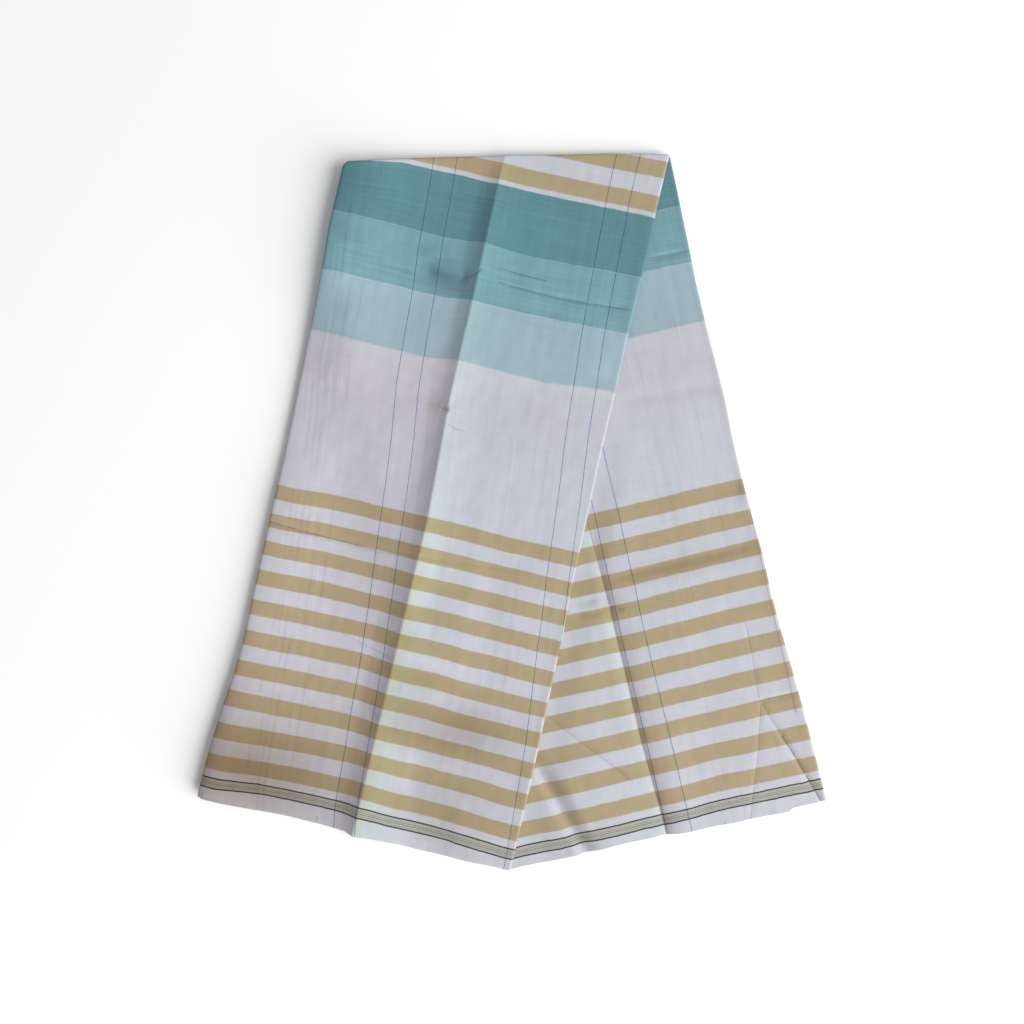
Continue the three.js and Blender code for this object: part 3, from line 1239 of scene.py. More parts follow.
@dataclass(frozen=True)
class Grain:
    """One layer of unevenness in the cloth: noise that is stretched along its threads.

    It has across and along cells to the metre. Its strength is how far it moves the
    tone, more on the teal bands, or how far in millimetres it moves an edge. Its relief
    is how much it raises the threads.
    """

    across: float
    along: float
    start: float
    detail: float
    strength: float = 0.0
    on_teal: float = 0.0
    relief: float = 0.0

    def noise(self, bench: NodeBench, warp: Term, weft: Term) -> Term:
        """The noise, from 0 to 1, at each place on the cloth."""
        place = bench.vector(warp * self.across, weft * self.along, self.start)
        return bench.noise(place, self.detail)


Colour = tuple[float, float, float, float]
WHITE: Colour = (1.0, 1.0, 1.0, 1.0)


@dataclass(frozen=True)
class LungiCloth:
    """The woven cotton: its stripes, its threads and its feel, with light and shade painted into
    its colour. Lengths are millimetres.
    """

    name: str
    creases: tuple[Crease, ...] = ()
    ends: tuple[tuple[float, float, float], ...] = ()
    ghosts: tuple[tuple[float, float, float], ...] = ()
    ground: Colour = (0.503, 0.515, 0.560, 1.0)
    dark_teal: Colour = (0.103, 0.234, 0.266, 1.0)
    light_teal: Colour = (0.170, 0.326, 0.358, 1.0)
    pale_blue: Colour = (0.304, 0.418, 0.468, 1.0)
    ochre: Colour = (0.380, 0.308, 0.190, 1.0)
    khaki: Colour = (0.350, 0.348, 0.282, 1.0)
    blue_thread: Colour = (0.14, 0.32, 0.64, 1.0)
    dark_thread: Colour = (0.030, 0.034, 0.045, 1.0)
    # Casts over the colour: lilac is the cloth's own and also painted shade; green and straw are
    # painted light; the brown and cool casts are painted shade in patches, and the crease cast is
    # painted shade along the creases
    lilac_and_painted_shade: Colour = (0.92, 0.80, 0.83, 1.0)
    painted_light_green: Colour = (1.02, 1.12, 1.04, 1.0)
    painted_light_straw: Colour = (1.0, 0.89, 0.76, 1.0)
    painted_shade_brown: Colour = (0.505, 0.43, 0.345, 1.0)
    painted_shade_cool: Colour = (0.46, 0.50, 0.60, 1.0)
    crease_cast: Colour = (0.38, 0.30, 0.30, 1.0)
    dark_band: tuple[float, float] = (-16.4, 63.0)
    light_band: tuple[float, float] = (63.0, 138.6)
    pale_band: tuple[float, float] = (138.6, 213.0)
    band_soft: float = 1.3
    stripe_first: float = 422.7
    stripe_pitch: float = 38.93
    stripe_half_width: float = 9.8
    stripes: int = 10
    upper_first: float = -33.2
    upper_pitch: float = 43.9
    upper_half_width: float = 10.6
    heading: tuple[float, float] = (793.8, 806.4)
    heading_soft: float = 0.6
    heading_strength: float = 0.85
    heading_bar_half: float = 0.9
    heading_dashes: tuple[float, float, float] = (0.4, 1.5, 0.80)
    heading_lines: tuple[tuple[float, float, float], ...] = ((-1.8, -1.1, 0.50), (2.9, 3.5, 0.25))
    dash_pitch: tuple[float, float] = (3.4, 3.0)
    dash_contrast: tuple[float, float] = (2.5, 0.9)
    pair_at: tuple[float, float] = (105.3, 134.8)
    pair_repeat: float = 228.0
    pair_lead: float = 0.25
    thread_half: float = 0.42
    thread_soft: float = 0.6
    thread_wear: tuple[float, float] = (1.2, 0.35)
    worn: Grain = Grain(20.0, 120.0, 2.0, 3.0)
    end_half: float = 0.1
    end_soft: float = 0.7
    end_strength: float = 0.7
    hair_core: float = 0.4
    hair_fade: float = 1.8
    wander: tuple[Grain, ...] = (
        Grain(700.0, 60.0, 0.0, 2.0, strength=1.3),
        Grain(28.0, 20.0, 9.0, 1.0, strength=2.4),
    )
    grains: tuple[Grain, ...] = (
        Grain(9.0, 1400.0, 0.0, 3.0, strength=0.13, on_teal=0.30, relief=1.6),
        Grain(5.0, 260.0, 3.0, 2.0, strength=0.07, on_teal=0.18),
        Grain(900.0, 4.0, 7.0, 3.0, strength=0.12, relief=1.6),
        Grain(120.0, 3.0, 11.0, 2.0, strength=0.14, on_teal=0.10),
        Grain(45.0, 45.0, 5.0, 3.0, strength=0.14),
    )
    ragged: Grain = Grain(60.0, 14.0, 4.0, 2.0)
    ragged_from: float = 0.42
    ragged_contrast: float = 6.0
    ghost_soft: float = 1.5
    thread_pitch: float = 0.45
    weave_relief: float = 0.5
    bump_strength: float = 0.4
    bump_distance: float = 0.14

    def bars(self, place: Term, pitch: float, half: float) -> Term:
        """A mask of bars, each in the middle of its pitch, from the first pitch's edge on."""
        away = abs((place / (pitch * MM)).fraction() - 0.5) * (pitch * MM)
        return ((half * MM - away) * (1 / (self.band_soft * MM)) + 0.5).clamped()

    def stripe_mask(self, weft: Term) -> Term:
        """The ten ochre stripes, and those above the teal bands.

        Args:
            weft: the place along the cloth.

        Returns:
            The mask, from 0 to 1.
        """
        soft = self.band_soft * MM
        first = (self.stripe_first - self.stripe_pitch / 2) * MM
        last = first + self.stripes * self.stripe_pitch * MM
        top = (self.upper_first + self.upper_pitch / 2) * MM
        lower = self.bars(weft - first, self.stripe_pitch, self.stripe_half_width)
        upper = self.bars(top - weft, self.upper_pitch, self.upper_half_width)
        lower = lower * weft.within(first, last, soft)
        upper = upper * weft.within(FAR_UP, top, soft)
        return (lower + upper).clamped()

    def striped(self, bench: NodeBench, edge: Term) -> Term:
        """The white ground with its teal bands and its ochre stripes.

        Args:
            bench: the material's nodes.
            edge: the place along the cloth.

        Returns:
            The colour.
        """
        soft = self.band_soft * MM
        bands = (
            (self.dark_band, soft, self.dark_teal),
            (self.light_band, soft, self.light_teal),
            (self.pale_band, soft * 2, self.pale_blue),
        )
        colour = self.ground
        for (low, high), blur, shade in bands:
            colour = bench.mix(edge.within(low * MM, high * MM, blur), colour, shade)
        return bench.mix(self.stripe_mask(edge), colour, self.ochre)

    def heading_on(self, bench: NodeBench, colour: Term, warp: Term, edge: Term) -> Term:
        """Weaves the heading near the cut end into the colour.

        Args:
            bench: the material's nodes.
            colour: the colour so far.
            warp: the place across the cloth.
            edge: the place along it.

        Returns:
            The colour with the heading.
        """
        first, last = (at * MM for at in self.heading)
        soft = self.heading_soft * MM
        colour = bench.mix(
            edge.within(first, last, soft) * self.heading_strength, colour, self.khaki
        )
        turns = [2 * math.pi / (pitch * MM) for pitch in self.dash_pitch]
        contrast, lift = self.dash_contrast
        hatch = ((warp * turns[0] + edge * turns[1]).sine() * contrast + lift).clamped()
        half = self.heading_bar_half * MM
        dark = edge.within(first - half, first + half, soft)
        dark = dark + edge.within(last - half, last + half, soft)
        middle = (first + last) / 2
        low, high, strength = self.heading_dashes
        dark = dark + edge.within(middle + low * MM, middle + high * MM, soft) * hatch * strength
        for low, high, strength in self.heading_lines:
            dark = dark + edge.within(middle + low * MM, middle + high * MM, soft) * strength
        return bench.mix(dark.clamped(), colour, self.dark_thread)

    def threads_on(
        self, bench: NodeBench, colour: Term, warp: Term, weft: Term, lay: Term
    ) -> Term:
        """Draws the pairs of blue threads and the loose ends over the colour.

        Args:
            bench: the material's nodes.
            colour: the colour so far.
            warp: the place across the cloth.
            weft: the place along it.
            lay: the place on the leg as it lies.

        Returns:
            The colour with the threads.
        """
        repeat = self.pair_repeat * MM
        turn = ((warp - self.pair_at[0] * MM) / repeat + self.pair_lead).fraction()
        offset = (turn - self.pair_lead) * repeat
        gap = (self.pair_at[1] - self.pair_at[0]) * MM
        half, soft = self.thread_half * MM, self.thread_soft * MM
        pair = offset.within(-half, half, soft) + (offset - gap).within(-half, half, soft)
        gain, least = self.thread_wear
        pair = pair * (self.worn.noise(bench, warp, weft) * gain + least)
        half, soft = self.end_half * MM, self.end_soft * MM
        for at, start, stop in self.ends:
            run = ((at * MM, start * MM, 0.0), (at * MM, stop * MM, 0.0))
            pair = pair.larger(bench.near_run(lay, *run, half, soft) * self.end_strength)
        blue = bench.mix(1.0, colour, self.blue_thread, "MULTIPLY")
        return bench.mix(pair.clamped(), colour, blue)

    def creases_on(self, bench: NodeBench, lay: Term) -> Term | float:
        """A mask of the hairs of shade along the creases.

        Args:
            bench: the material's nodes.
            lay: the place on the leg as it lies.

        Returns:
            The mask, from 0 to 1.
        """
        drawn: Term | float = 0.0
        for crease in self.creases:
            if crease.line <= 0.0:
                continue
            half = crease.line_width / 2 * MM
            core, fade = half * self.hair_core, half * self.hair_fade
            for start, stop in zip(crease.path, crease.path[1:]):
                ends = tuple((at[0] * MM, at[1] * MM, 0.0) for at in (start, stop))
                hair = bench.near_run(lay, *ends, core, fade) * crease.line
                drawn = hair.larger(drawn)
        return drawn

    def tone(
        self, bench: NodeBench, warp: Term, weft: Term, edge: Term, noises: list[Term]
    ) -> Term:
        """How light the yarn is at each place, with its uneven threads.

        Args:
            bench: the material's nodes.
            warp: the place across the cloth.
            weft: the place along it.
            edge: the same, as the edges of the bands wander.
            noises: each grain's noise, from -0.5 to 0.5.

        Returns:
            The share of the colour's light that is left.
        """
        soft = self.band_soft * MM
        teal = edge.within(self.dark_band[0] * MM, self.light_band[1] * MM, soft)
        shade: Term | float = 1.0
        for grain, noise in zip(self.grains, noises):
            shade = shade + noise * (teal * grain.on_teal + grain.strength)
        ragged = self.ragged.noise(bench, warp, weft) - self.ragged_from
        ragged = (ragged * self.ragged_contrast).clamped()
        for at, half, strength in self.ghosts:
            low, high = (at - half) * MM, (at + half) * MM
            ghost = warp.within(low, high, half * self.ghost_soft * MM)
            shade = shade + ghost * (ragged * strength)
        return shade

    def build(self) -> bpy.types.Material:
        """Makes the material.

        Returns:
            The material, ready for a sheet.
        """
        bench = NodeBench(self.name)
        warp, weft, tint = bench.attribute("cloth")
        across, along, painted_shade = bench.attribute("lay")
        lay = bench.vector(across, along)
        edge = weft
        for grain in self.wander:
            edge = edge + (grain.noise(bench, warp, weft) - 0.5) * (grain.strength * MM)
        noises = [grain.noise(bench, warp, weft) - 0.5 for grain in self.grains]

        colour = self.striped(bench, edge)
        colour = self.heading_on(bench, colour, warp, edge)
        colour = self.threads_on(bench, colour, warp, weft, lay)
        tone = self.tone(bench, warp, weft, edge, noises)
        colour = bench.vector_sum("MULTIPLY", colour, bench.vector(tone, tone, tone))
        # Multiplies the painted light and shade, and the cloth's own lilac, into the colour
        casts = (
            (tint.clamped(), self.lilac_and_painted_shade),
            ((tint * -1.0).clamped(), self.painted_light_green),
            ((tint * -1.0 - 1.0).clamped(), self.painted_light_straw),
            (painted_shade.clamped(), self.painted_shade_brown),
            ((painted_shade * -1.0).clamped(), self.painted_shade_cool),
            (self.creases_on(bench, lay), self.crease_cast),
        )
        for share, cast in casts:
            colour = bench.mix(1.0, colour, bench.mix(share, WHITE, cast), "MULTIPLY")

        wave = math.pi / (self.thread_pitch * MM)
        height = (warp * wave).sine() * (weft * wave).sine() * self.weave_relief
        for grain, noise in zip(self.grains, noises):
            if grain.relief:
                height = height + noise * grain.relief
        bump = {
            "Strength": self.bump_strength,
            "Distance": self.bump_distance * MM,
            "Height": height,
        }
        finish = {
            "Base Color": colour,
            "Roughness": 0.86,
            "Specular IOR Level": 0.25,
            "Sheen Weight": 0.08,
            "Sheen Roughness": 0.5,
            "Normal": bench.node("ShaderNodeBump", {}, bump),
        }
        return bench.finished(bench.node("ShaderNodeBsdfPrincipled", {}, finish))


@dataclass(frozen=True)
class Studio:
    """The pale floor, the soft light and the camera straight above, in metres."""

    camera_height: float = 1.2
    view_height: float = 0.007
    view_half_width: float = 0.64512
    key_azimuth: float = -29.0
    key_elevation: float = 31.0
    key_distance: float = 8.0
    key_size: tuple[float, float] = (8.4, 8.4)
    key_power: float = 1235.0
    sky: float = 0.368
    sensor_width: float = 36.0
    floor_albedo: float = 0.95
    floor_half: float = 6.0
    floor_drop: float = 0.0003

    def floor(self) -> bpy.types.Object:
        """Lays a wide plain floor just under the cloth.

        Returns:
            The floor.
        """
        half = self.floor_half
        mesh = bpy.data.meshes.new("floor")
        corners = [(-half, -half, 0), (half, -half, 0), (half, half, 0), (-half, half, 0)]
        mesh.from_pydata(corners, [], [(0, 1, 2, 3)])
        floor = bpy.data.objects.new("floor", mesh)
        floor.location.z = -self.floor_drop
        bpy.context.collection.objects.link(floor)
        bench = NodeBench("pale_floor")
        tone = (self.floor_albedo,) * 3 + (1.0,)
        paint = bench.node("ShaderNodeBsdfDiffuse", {}, {"Color": tone})
        mesh.materials.append(bench.finished(paint))
        return floor

    def lights(self) -> None:
        """One large soft light low on the right, and an even sky."""
        light = bpy.data.lights.new("soft_key", "AREA")
        light.shape = "RECTANGLE"
        light.size, light.size_y = self.key_size
        light.energy = self.key_power
        azimuth, elevation = math.radians(self.key_azimuth), math.radians(self.key_elevation)
        level = math.cos(elevation)
        away = Vector((math.cos(azimuth) * level, math.sin(azimuth) * level, math.sin(elevation)))
        key = bpy.data.objects.new("soft_key", light)
        key.location = away * self.key_distance
        key.rotation_euler = away.to_track_quat("Z", "Y").to_euler()
        bpy.context.collection.objects.link(key)
        world = bpy.data.worlds.new("studio")
        world.use_nodes = True
        background = world.node_tree.nodes["Background"]
        background.inputs[0].default_value = WHITE
        background.inputs[1].default_value = self.sky
        bpy.context.scene.world = world

    def camera(self) -> None:
        """The camera straight above the middle of the cloth."""
        data = bpy.data.cameras.new("camera")
        data.sensor_width = self.sensor_width
        reach = self.camera_height - self.view_height
        data.lens = self.sensor_width / 2 * reach / self.view_half_width
        camera = bpy.data.objects.new("camera", data)
        camera.location = (0.0, 0.0, self.camera_height)
        bpy.context.collection.objects.link(camera)
        bpy.context.scene.camera = camera
        bpy.context.scene.view_settings.view_transform = "Standard"


FRONT_CREASES = (
    Crease(((221.4, 88.7), (279.5, 90.5)), -1.6, (6.0, 3.6), line=0.5, line_width=1.0),
    Crease(
        ((224.0, 106.5), (300.0, 108.0), (393.0, 102.3)),
        -1.6,
        (8.0, 3.6),
        line=0.5,
        line_width=1.0,
    ),
    Crease(((200.0, 92.0), (222.0, 98.0), (250.0, 100.0)), -1.0, (6.0, 4.0)),
    Crease(((11.5, 109.8), (60.0, 110.0), (120.3, 119.5)), -1.0, (10.0, 5.0), line=0.08),
    Crease(((0.0, 90.0), (60.0, 96.0)), -0.6, (8.0, 5.0)),
    Crease(((130.5, 90.4), (160.0, 104.0), (190.0, 112.0)), -4.0, (16.0, 12.0), Profile.SWELL),
    Crease(
        ((187.0, 106.5), (191.0, 104.0), (198.5, 95.5)),
        -0.6,
        (4.0, 3.0),
        fade=(3.0, 2.0),
        line=0.5,
        line_width=1.2,
    ),
    Crease(
        ((187.0, 274.6), (198.0, 276.4)),
        -2.4,
        (6.0, 5.0),
        fade=(3.0, 2.0),
        line=0.45,
        line_width=1.6,
    ),
    Crease(((196.0, 274.4), (170.0, 262.0), (146.0, 258.0)), -1.6, (9.0, 6.0)),
    Crease(
        ((199.0, 292.5), (210.0, 297.0), (223.0, 297.6)),
        -0.8,
        (4.0, 3.0),
        fade=(3.0, 8.0),
        line=0.3,
        line_width=0.9,
    ),
    Crease(((150.0, 296.0), (60.0, 280.0), (0.0, 282.0)), -0.9, (14.0, 9.0)),
    Crease(
        ((0.0, 461.5), (47.9, 464.7), (146.3, 468.1), (329.7, 453.4)),
        -1.8,
        (11.0, 4.5),
        strengths=(1.0, 1.0, 0.9, 0.5, 0.35, 0.2),
    ),
    Crease(((0.0, 461.5), (47.9, 464.7), (146.3, 468.1)), 0.0, (4.0, 4.0), line=0.42),
    Crease(((129.9, 580.4), (202.6, 598.7)), -1.4, (7.0, 5.0), line=0.2),
    Crease(((150.0, 596.0), (203.0, 612.0)), -1.0, (6.0, 5.0)),
    Crease(((150.0, 652.0), (180.0, 662.0), (200.0, 676.0)), -2.0, (12.0, 8.0)),
    Crease(((240.0, 735.0), (398.0, 716.0)), -1.4, (50.0, 34.0), Profile.SWELL),
)

BACK_CREASES = (
    # Painted shade only: the dark line down the valley, with no height of its own
    Crease(
        ((205.5, 400.0), (201.8, 530.4), (200.0, 710.5), (194.7, 838.0)),
        0.0,
        (3.0, 3.0),
        line=0.5,
        line_width=1.5,
    ),
    Crease(
        ((336.2, 708.5), (297.5, 838.0)),
        -2.4,
        (12.0, 22.0),
        fade=(12.0, 0.0),
        line=0.3,
        line_width=1.4,
    ),
    Crease(((350.0, 712.0), (311.0, 840.0)), 2.6, (34.0, 12.0), Profile.SWELL, fade=(20.0, 0.0)),
    Crease(((312.0, 712.0), (276.0, 840.0)), 1.8, (20.0, 60.0), Profile.SWELL, fade=(30.0, 0.0)),
    # Painted shade only: a soft dark band right of the diagonal crease, with no height of its own
    Crease(((330.0, 706.0), (291.5, 838.0)), 0.0, (9.0, 9.0), line=0.28, line_width=13.0),
    Crease(((310.8, 652.4), (222.6, 759.1)), -1.5, (8.0, 5.0), line=0.25),
    Crease(
        ((43.0, 695.0), (27.0, 742.0)),
        -1.2,
        (7.0, 6.0),
        fade=(6.0, 0.0),
        line=0.35,
        line_width=1.0,
    ),
    Crease(
        ((27.0, 742.0), (18.0, 766.0), (-5.0, 838.0)),
        -2.2,
        (8.0, 6.0),
        fade=(0.0, 0.0),
        line=0.75,
        line_width=1.7,
    ),
    Crease(
        ((41.1, 695.1), (60.0, 760.0), (88.1, 838.0)),
        -0.6,
        (6.0, 6.0),
        fade=(10.0, 0.0),
        line=0.42,
        line_width=1.0,
    ),
    Crease(
        ((45.0, 695.0), (-6.0, 696.5)),
        -0.8,
        (5.0, 5.0),
        fade=(6.0, 0.0),
        line=0.3,
        line_width=1.0,
    ),
    Crease(
        ((38.0, 590.0), (40.1, 640.0), (43.5, 694.5)),
        -0.4,
        (7.0, 6.0),
        line=0.3,
        line_width=1.0,
    ),
    Crease(((60.8, 119.2), (2.0, 121.5)), -1.6, (7.0, 5.0), line=0.3),
    Crease(((198.0, 503.3), (5.3, 501.6)), -0.9, (9.0, 10.0)),
    Crease(((207.0, 521.0), (226.0, 525.0), (240.0, 520.0)), -1.2, (8.0, 8.0)),
    Crease(((206.0, 541.0), (222.0, 541.3), (250.0, 534.0)), -1.4, (7.0, 7.0)),
    Crease(
        ((203.0, 538.0), (195.5, 539.0), (190.0, 542.8), (184.0, 545.5)),
        -1.6,
        (6.0, 5.0),
        fade=(2.0, 6.0),
        line=0.3,
    ),
    Crease(((2.0, 440.0), (2.5, 560.0), (2.0, 720.0)), 0.0, (3.0, 3.0), line=0.4, line_width=1.2),
    Crease(((2.0, 428.2), (20.0, 428.2)), -2.2, (14.0, 14.0), Profile.SWELL),
    Crease(((0.0, 296.0), (140.0, 288.0)), -0.9, (16.0, 10.0)),
)

# Painted shade: soft dark patches at the dimples, creases and edges and near the cut ends, brown
# above 0 and cool below it
FRONT_PATCHES = (
    ShadePatch((50.0, 775.0), (100.0, 70.0), 0.95),
    ShadePatch((40.0, 668.0), (75.0, 55.0), 0.20),
    ShadePatch((285.0, 668.0), (85.0, 38.0), 0.58),
    ShadePatch((250.0, 610.0), (30.0, 20.0), 0.38),
    ShadePatch((290.0, 768.0), (95.0, 58.0), 0.30),
    ShadePatch((16.0, 26.0), (40.0, 40.0), -0.42),
    ShadePatch((14.0, 88.0), (26.0, 18.0), -0.36),
    ShadePatch((137.0, 101.0), (9.0, 11.0), -0.50),
    ShadePatch((143.0, 112.0), (9.0, 9.0), -0.42),
    ShadePatch((158.0, 104.0), (14.0, 11.0), -0.20),
    ShadePatch((158.0, 114.5), (20.0, 9.0), -0.55),
    ShadePatch((166.0, 127.0), (30.0, 9.0), -0.36),
    ShadePatch((130.0, 86.0), (16.0, 8.0), -0.22),
    ShadePatch((174.0, 274.0), (8.0, 7.0), 0.25),
    ShadePatch((186.0, 277.0), (9.0, 8.0), 0.25),
    ShadePatch((40.0, 182.0), (16.0, 22.0), -0.26),
    ShadePatch((44.0, 265.0), (20.0, 95.0), -0.20),
    ShadePatch((252.0, 380.0), (30.0, 500.0), -0.20),
    ShadePatch((380.0, 20.0), (28.0, 60.0), 0.15),
    ShadePatch((398.0, 420.0), (5.0, 600.0), 0.20),
)

BACK_PATCHES = (
    ShadePatch((196.0, 535.0), (22.0, 16.0), 0.30),
    ShadePatch((218.0, 524.0), (12.0, 6.0), -0.12),
    ShadePatch((100.0, 506.0), (110.0, 12.0), 0.34),
    ShadePatch((3.0, 430.0), (14.0, 12.0), 0.35),
    ShadePatch((1.0, 330.0), (7.0, 700.0), 0.13),
    ShadePatch((183.0, 690.0), (13.0, 190.0), -0.13),
)

# How far each weft line lies below its woven place, in millimetres, at places across
FRONT_PULL_ACROSS = (12.0, 80.0, 150.0, 196.0, 240.0, 300.0, 388.0)
FRONT_PULL = (
    (-16.0, (18.0, 3.4, 1.7, 3.0, 2.6, 1.5, -0.9)),
    (62.0, (3.0, 1.5, 2.5, 0.1, 2.8, 0.8, -3.0)),
    (135.0, (1.5, 0.2, 0.9, -2.6, -1.8, -3.1, -5.5)),
    (213.0, (2.5, 4.0, 4.5, 0.0, 0.8, 1.8, -5.4)),
    (422.0, (1.7, -1.8, -0.9, -0.5, -0.7, 1.7, 1.1)),
    (460.0, (-1.0, -3.8, -3.6, -2.9, -2.2, -1.0, 0.2)),
    (495.0, (-6.0, -7.6, -6.9, -5.8, -4.8, -3.6, -2.5)),
    (533.0, (-7.1, -8.3, -6.7, -5.9, -6.4, -3.9, -2.0)),
    (571.0, (-7.7, -9.1, -9.3, -6.5, -6.7, -4.1, -1.8)),
    (610.0, (-7.6, -8.6, -8.6, -6.1, -6.3, -2.6, -0.5)),
    (650.0, (-8.6, -8.5, -8.5, -6.3, -6.0, -2.1, -0.7)),
    (689.0, (-7.7, -7.0, -7.2, -5.8, -5.7, -3.7, -0.6)),
    (729.0, (-3.8, -5.3, -6.5, -7.2, -4.7, -3.7, 0.4)),
    (769.0, (-3.0, -4.8, -5.4, -6.9, -2.7, -2.0, 3.5)),
    (797.0, (-3.9, -7.4, -7.1, -6.4, -4.1, -2.6, 2.6)),
)

BACK_PULL_ACROSS = (10.0, 60.0, 120.0, 180.0, 240.0)
BACK_PULL = (
    (63.0, (0.5, 0.5, 0.5, 0.5, 0.5)),
    (135.0, (-3.1, -3.1, -3.1, -3.1, -3.1)),
    (212.0, (-0.7, -0.7, -0.7, -0.7, -0.7)),
    (427.0, (4.2, 3.8, 5.2, 5.5, 6.2)),
    (466.0, (5.0, 4.7, 6.0, 5.9, 6.6)),
    (506.0, (5.3, 5.6, 6.2, 6.9, 6.7)),
    (545.0, (4.9, 5.5, 6.3, 7.8, 6.7)),
    (584.0, (5.9, 5.6, 6.6, 7.7, 7.6)),
    (624.0, (6.7, 6.8, 7.8, 8.6, 7.9)),
    (664.0, (9.1, 9.0, 9.9, 9.7, 9.1)),
    (704.0, (9.6, 9.6, 9.4, 9.7, 10.5)),
    (746.0, (12.8, 12.0, 11.3, 12.5, 12.5)),
    (786.0, (15.8, 14.7, 12.9, 14.4, 14.8)),
    (814.0, (15.0, 13.8, 12.5, 14.0, 14.0)),
)

# How far the warp has moved across each leg, in millimetres, at places along it
FRONT_OUTER_SKEW = (
    (-30.0, 2.8),
    (80.0, 8.9),
    (140.0, 12.5),
    (200.0, 14.5),
    (260.0, 17.6),
    (320.0, 24.9),
    (430.0, 33.7),
    (480.0, 37.3),
    (540.0, 42.1),
    (600.0, 45.3),
    (660.0, 49.1),
    (720.0, 57.1),
    (780.0, 62.6),
    (800.0, 64.9),
    (825.0, 70.0),
)
FRONT_INNER_SKEW = (
    (-60.0, -0.4),
    (20.0, 0.9),
    (140.0, 6.6),
    (260.0, 14.4),
    (320.0, 20.4),
    (430.0, 29.2),
    (540.0, 37.2),
    (660.0, 47.9),
    (825.0, 58.7),
)
BACK_SKEW = (
    (0.0, 59.0),
    (350.0, 58.5),
    (420.0, 57.5),
    (500.0, 60.0),
    (560.0, 60.8),
    (680.0, 62.6),
    (832.0, 63.8),
)

# How far apart the points of each top sheet lie, closer where it is creased
FRONT_COLUMNS = (
    (6.0, 2.6),
    (60.0, 3.2),
    (170.0, 3.0),
    (182.0, 1.5),
    (212.0, 1.5),
    (225.0, 3.0),
    (392.0, 3.4),
)
FRONT_ROWS = (
    (60.0, 3.0),
    (80.0, 1.6),
    (120.0, 1.6),
    (132.0, 4.0),
    (250.0, 3.4),
    (290.0, 3.4),
    (300.0, 4.4),
    (440.0, 4.0),
    (454.0, 1.9),
    (474.0, 1.9),
    (490.0, 4.0),
    (570.0, 2.6),
    (606.0, 2.6),
    (620.0, 4.2),
    (824.0, 4.0),
)
BACK_COLUMNS = (
    (6.0, 2.2),
    (95.0, 2.4),
    (180.0, 3.0),
    (190.0, 1.4),
    (212.0, 1.4),
    (240.0, 3.4),
    (392.0, 4.0),
)
BACK_ROWS = (
    (60.0, 3.6),
    (112.0, 2.2),
    (128.0, 2.2),
    (150.0, 5.5),
    (420.0, 5.0),
    (480.0, 3.0),
    (680.0, 3.6),
    (700.0, 2.4),
    (833.0, 2.4),
)

# Loose thread ends at the cut ends: their place across, and where they start and stop
FRONT_ENDS = ((4.6, 811.0, 815.0), (149.3, 811.5, 818.5))
BACK_ENDS = ((120.5, 834.5, 838.0),)

# Light and dark streaks along the warp: their place across the cloth, half width and how much
# lighter
FRONT_GHOSTS = (
    (-12.0, 1.5, -0.09),
    (-4.0, 1.2, -0.10),
    (4.0, 1.5, -0.11),
    (12.0, 1.3, -0.13),
    (19.0, 1.2, 0.07),
    (26.0, 1.5, -0.11),
    (34.0, 1.0, 0.08),
    (42.0, 1.3, -0.10),
    (268.0, 0.6, 0.12),
    (296.0, 0.8, -0.08),
)
BACK_GHOSTS = (
    (36.5, 0.7, -0.10),
    (52.0, 0.7, -0.10),
    (-60.0, 0.7, -0.10),
    (-75.0, 0.6, 0.10),
    (-20.0, 0.8, -0.08),
)

# The hidden sheets of each leg, from the floor upwards. The middle ones lie turned over
BACK_LININGS = (
    Lining("back_leg_bottom_sheet", share=0.14, inset=0.6, setback=-0.8),
    Lining("back_leg_middle_sheet", share=0.72, inset=3.2, setback=1.6, flip=2 * STRIP_WIDTH),
)
FRONT_LININGS = (
    Lining("front_leg_bottom_sheet", share=0.14, inset=0.6, setback=-0.6),
    Lining("front_leg_middle_sheet", share=0.72, inset=3.2, setback=1.2, flip=2 * STRIP_WIDTH),
)


def front_leg() -> FrontLeg:
    """Says how the front leg lies, with its own creases and threads.

    Returns:
        The leg, not built yet.
    """
    return FrontLeg(
        plan=FRONT,
        name="front_leg",
        creases=FRONT_CREASES,
        swells=(
            Swells(seed=3, height=0.26, lengths=(45.0, 120.0)),
            Swells(seed=8, height=0.08, lengths=(14.0, 34.0)),
        ),
        weft_pull=FRONT_PULL,
        pull_across=FRONT_PULL_ACROSS,
        outer_skew=FRONT_OUTER_SKEW,
        inner_skew=FRONT_INNER_SKEW,
        patches=FRONT_PATCHES,
        column_pitch=FRONT_COLUMNS,
        row_pitch=FRONT_ROWS,
        curl=Curl(radius=3.0),
    )


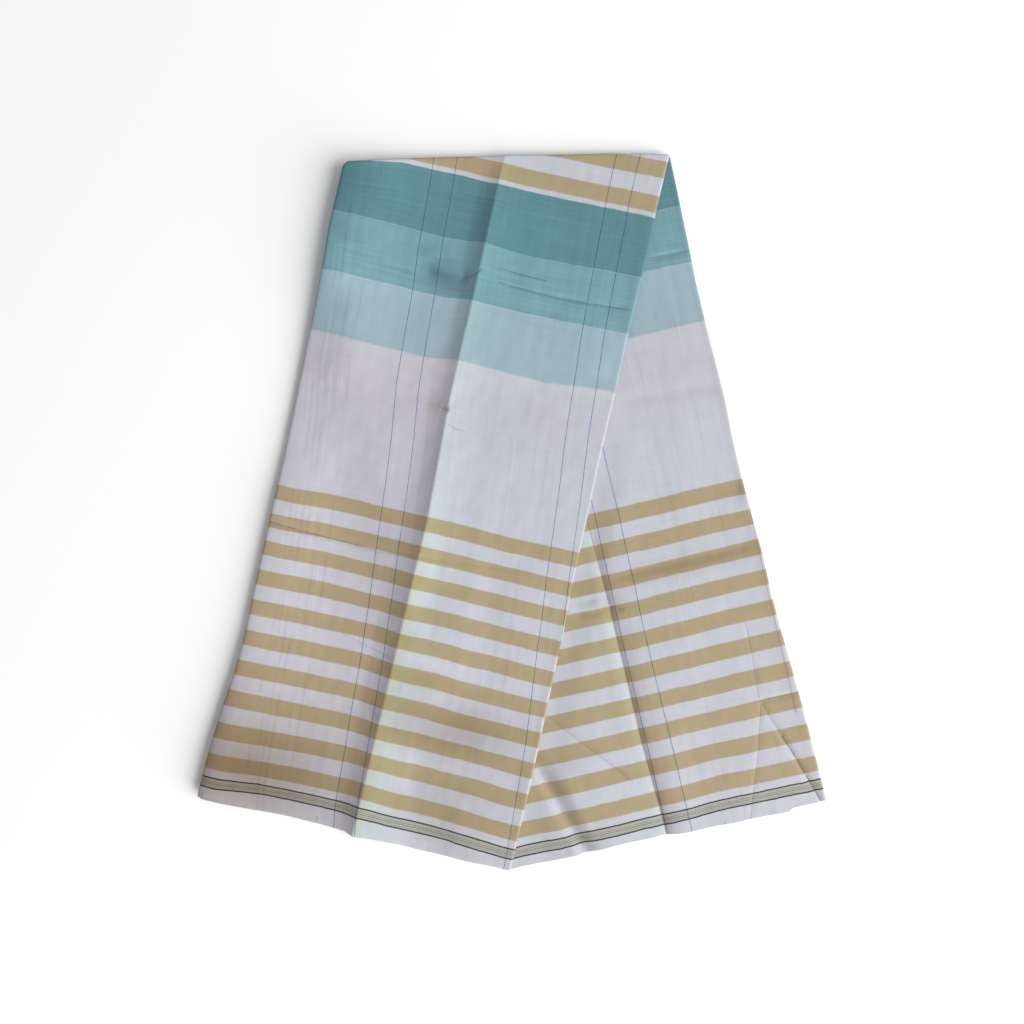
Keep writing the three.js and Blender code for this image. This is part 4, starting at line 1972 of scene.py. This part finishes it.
def back_leg() -> BackLeg:
    """Says how the back leg lies, with its own creases and threads.

    Returns:
        The leg, not built yet.
    """
    return BackLeg(
        plan=BACK,
        name="back_leg",
        creases=BACK_CREASES,
        swells=(
            Swells(seed=5, height=0.28, lengths=(45.0, 120.0)),
            Swells(seed=9, height=0.08, lengths=(14.0, 34.0)),
        ),
        weft_pull=BACK_PULL,
        pull_across=BACK_PULL_ACROSS,
        outer_skew=BACK_SKEW,
        inner_skew=BACK_SKEW,
        patches=BACK_PATCHES,
        column_pitch=BACK_COLUMNS,
        row_pitch=BACK_ROWS,
        curl=Curl(radius=3.5),
    )


def dress(piece: bpy.types.Object, cloth: bpy.types.Material, *nodes: str) -> None:
    """Gives a sheet its cloth and says what it is.

    Args:
        piece: the sheet.
        cloth: its material.
        nodes: the solids that it stands for.
    """
    piece.data.materials.append(cloth)
    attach(piece, "root")
    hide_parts(*nodes)
    log.info("%s: %d faces", piece.name, len(piece.data.polygons))


def main() -> None:
    """Builds the stage, then the lungi from the floor upwards."""
    logging.basicConfig(level=logging.INFO, format="%(name)s %(message)s")
    studio = Studio()
    studio.camera()
    studio.floor()
    studio.lights()
    plain = LungiCloth("lungi_cotton").build()
    back_cloth, front_cloth = (
        LungiCloth(f"lungi_cotton_{leg}_leg", creases, ends, ghosts).build()
        for leg, creases, ends, ghosts in (
            ("back", BACK_CREASES, BACK_ENDS, BACK_GHOSTS),
            ("front", FRONT_CREASES, FRONT_ENDS, FRONT_GHOSTS),
        )
    )
    back, front = back_leg(), front_leg()

    back_bottom, back_middle = (back.inner_sheet(lining) for lining in BACK_LININGS)
    dress(back_bottom, plain, "back_leg_hidden_layers")
    dress(back_middle, plain, "back_leg_hidden_layers")
    back_top = back.top_sheet()
    dress(back_top, back_cloth, "back_leg_top_layer")
    tuck = Tuck().build()
    dress(tuck, plain, "top_tuck")
    front_bottom, front_middle = (front.inner_sheet(lining) for lining in FRONT_LININGS)
    dress(front_bottom, plain, "front_leg_hidden_layers")
    dress(front_middle, plain, "front_leg_hidden_layers")
    front_top = front.top_sheet()
    dress(front_top, front_cloth, "front_leg_top_layer")


if __name__ == "__main__":
    main()
